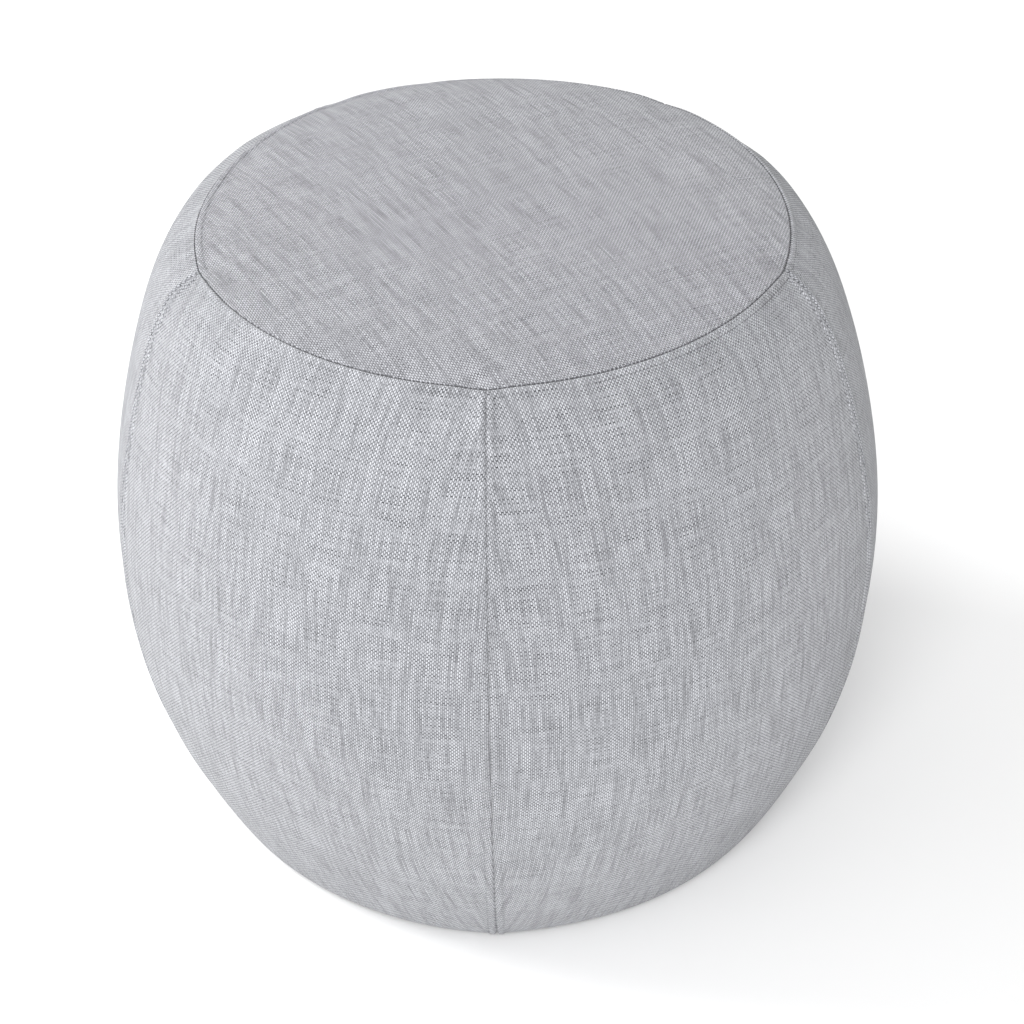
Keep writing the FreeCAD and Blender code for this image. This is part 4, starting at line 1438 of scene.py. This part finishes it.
def build_glides():
    """Moulded glides, each with a recess for its screw."""
    plastic = glide_plastic()
    outline = [(SCREW_HOLE, BASE_LEVEL), (GLIDE_RADIUS, BASE_LEVEL), (GLIDE_RADIUS, GLIDE_EDGE_LEVEL),
               (GLIDE_SOLE, FLOOR), (GLIDE_RECESS, FLOOR), (GLIDE_RECESS, GLIDE_RECESS_LEVEL),
               (SCREW_HOLE, GLIDE_RECESS_LEVEL), (SCREW_HOLE, BASE_LEVEL)]
    for name, centre in glide_centres().items():
        piece = turned_piece("glide_foot_" + name, outline, centre)
        soften(piece, GLIDE_EASE, 3)
        dress(piece, plastic, replaces=["glide_" + name])


def build_screws():
    """Pan-headed screws with a cross recess, up through the board."""
    roof = GLIDE_RECESS_LEVEL
    low = roof - SCREW_HEAD_HEIGHT
    dome = [(SCREW_HEAD * out, low + SCREW_HEAD_HEIGHT * up) for out, up in SCREW_DOME]
    shank = [(SCREW_HEAD, roof), (SCREW_SHANK, roof), (SCREW_SHANK, BOARD_TOP - SCREW_TIP),
             (SCREW_SHANK - SCREW_TIP, BOARD_TOP - SCREW_TIP / 2), (0, BOARD_TOP - SCREW_TIP / 2)]
    outline = [(0, low)] + dome + shank
    screw = turned_piece("glide_screw", outline, Vector((0, 0, 0)))
    for size in ((SCREW_SLOT, SCREW_SLOT_REACH, SCREW_DRIVE), (SCREW_SLOT_REACH, SCREW_SLOT, SCREW_DRIVE)):
        combine(screw, block(size, (0, 0, low + SCREW_DRIVE_SINK)), "DIFFERENCE")
    soften(screw, SCREW_EASE)
    places = [Matrix.Translation((centre.x, centre.y, 0)) for centre in glide_centres().values()]
    piece = copies("glide_screw_set", screw, places)
    select_only(piece)
    bpy.ops.object.shade_smooth_by_angle(angle=SHARP_ANGLE)
    dress(piece, zinc_plate(), replaces=["glide_screws"])


def stitch_model(thread):
    """One stitch along X of a thread of that thickness, rounded."""
    bpy.ops.object.select_all(action="DESELECT")
    bpy.ops.mesh.primitive_uv_sphere_add(segments=6, ring_count=5, radius=0.5, rotation=(0, math.pi / 2, 0))
    bpy.ops.object.transform_apply(rotation=True)
    stitch = bpy.context.object
    settle(stitch, Matrix.Diagonal((STITCH_LENGTH, thread, thread, 1)))
    return stitch


def stitch_places(line, pitch):
    """Places of stitches along a line of points, each turned along the line."""
    along = lengths_along(line)
    at = np.arange(pitch / 2, along[-1], pitch)
    middles = along_line(at, along, line)
    ahead = along_line(at + pitch / 4, along, line)
    places = []
    for middle, tip in zip(middles, ahead):
        facing = Vector(tip - middle).to_track_quat("X", "Z").to_matrix().to_4x4()
        places.append(Matrix.Translation(middle) @ facing)
    return places


def top_seam_line():
    """Bottom of the crease round the top panel."""
    degrees = np.linspace(0.0, 360.0, SEAM_LINE_POINTS)
    depth = CREASE_DEPTH * STITCH_SINK
    seam = barrel_radius(TOP_SEAM_RADIUS, off_middle(degrees))
    height = TOP_SEAM_HEIGHT - corner_droop(degrees, seam, 0.0) - depth * TOP_SEAM_FACING[1]
    return to_space(seam - depth * TOP_SEAM_FACING[0], height, degrees)


def zip_line(radius):
    """A row of stitches along the zip, under the hem or the base cloth."""
    degrees = np.linspace(ZIP_START_DEG, ZIP_END_DEG, ZIP_LINE_POINTS)
    return to_space(radius, BASE_LEVEL - ZIP_THREAD * ZIP_THREAD_SINK, degrees)


def build_stitches():
    """Thread in the top seam, in a second row beside it at the right front, and along the zip."""
    seam_thread = sewing_thread("seam_thread", SEAM_THREAD_TONES)
    zip_thread = sewing_thread("zip_thread", ZIP_THREAD_TONES)
    topstitch = TOPSTITCH_LINES["cover_side_front_right"]
    topstitch = topstitch[round(TOPSTITCH_FROM * len(topstitch)):]
    rows = stitch_places(top_seam_line(), STITCH_PITCH) + stitch_places(topstitch, STITCH_PITCH)
    piece = copies("seam_thread", stitch_model(SEAM_THREAD), rows)
    dress(piece, seam_thread)
    rows = stitch_places(zip_line(HEM_STITCH_RADIUS), HEM_STITCH_PITCH)
    rows += stitch_places(zip_line(BASE_STITCH_RADIUS), HEM_STITCH_PITCH)
    piece = copies("zip_thread", stitch_model(ZIP_THREAD), rows)
    dress(piece, zip_thread)


def build_hardware():
    """Zip, glides, screws and stitches, and the finish of the board and its tee nuts."""
    metal = nickel()
    build_coils()
    build_stops(metal)
    build_slider(metal)
    build_pull(metal)
    build_glides()
    build_screws()
    build_stitches()
    for node, material in (("base_board", plywood()), ("tee_nuts", zinc_plate())):
        frame["nodes"][node].data.materials.clear()
        frame["nodes"][node].data.materials.append(material)


def build_floor():
    """A wide pale floor that the pouf stands on."""
    bpy.ops.object.select_all(action="DESELECT")
    bpy.ops.mesh.primitive_plane_add(size=FLOOR_SIZE, location=(0, 0, FLOOR))
    floor = bpy.context.object
    floor.name = "studio_floor"
    floor.data.materials.append(floor_paint())


def swung(first, second, angle):
    """Two directions at right angles, turned together by an angle."""
    return (math.cos(angle) * first + math.sin(angle) * second,
            math.cos(angle) * second - math.sin(angle) * first)


def build_camera():
    """Camera looking down at the pouf, with the photograph's slight turn and tilt."""
    level = math.cos(CAMERA_ELEVATION)
    back = Vector((math.sin(CAMERA_AZIMUTH) * level, -math.cos(CAMERA_AZIMUTH) * level,
                   math.sin(CAMERA_ELEVATION)))
    right = Vector((0, 0, 1)).cross(back).normalized()
    ahead = -back
    up = right.cross(ahead)
    ahead, right = swung(ahead, right, CAMERA_YAW)
    ahead, up = swung(ahead, up, CAMERA_PITCH)
    right, up = swung(right, up, CAMERA_ROLL)
    data = bpy.data.cameras.new("camera")
    data.lens = CAMERA_LENS
    data.sensor_width = SENSOR
    camera = put_in_scene("camera", data)
    place = CAMERA_AIM + back * CAMERA_DISTANCE
    columns = Matrix((right, up, -ahead)).transposed()
    camera.matrix_world = Matrix.Translation(place) @ columns.to_4x4()
    bpy.context.scene.camera = camera


def area_light(name, power, size, place):
    """A round lamp at a place, turned to the pouf."""
    data = bpy.data.lights.new(name, "AREA")
    data.energy = power
    data.shape = "DISK"
    data.size = size
    light = put_in_scene(name, data)
    light.location = place
    light.rotation_mode = "QUATERNION"
    light.rotation_quaternion = (LAMP_AIM - Vector(place)).to_track_quat("-Z", "Y")


def build_light():
    """Soft studio light: a bright room, a large lamp at the left, a fill in front and a faint lamp behind."""
    world = bpy.data.worlds.new("studio")
    world.use_nodes = True
    sky = next(node for node in world.node_tree.nodes if node.type == "BACKGROUND")
    sky.inputs["Color"].default_value = (1, 1, 1, 1)
    sky.inputs["Strength"].default_value = ROOM_LIGHT
    bpy.context.scene.world = world
    for name, (power, size, place) in LAMPS.items():
        area_light(name, power, size, place)
    bpy.context.scene.view_settings.view_transform = "Standard"


build_cover()
build_filling()
build_base()
build_hardware()
build_floor()
build_camera()
build_light()
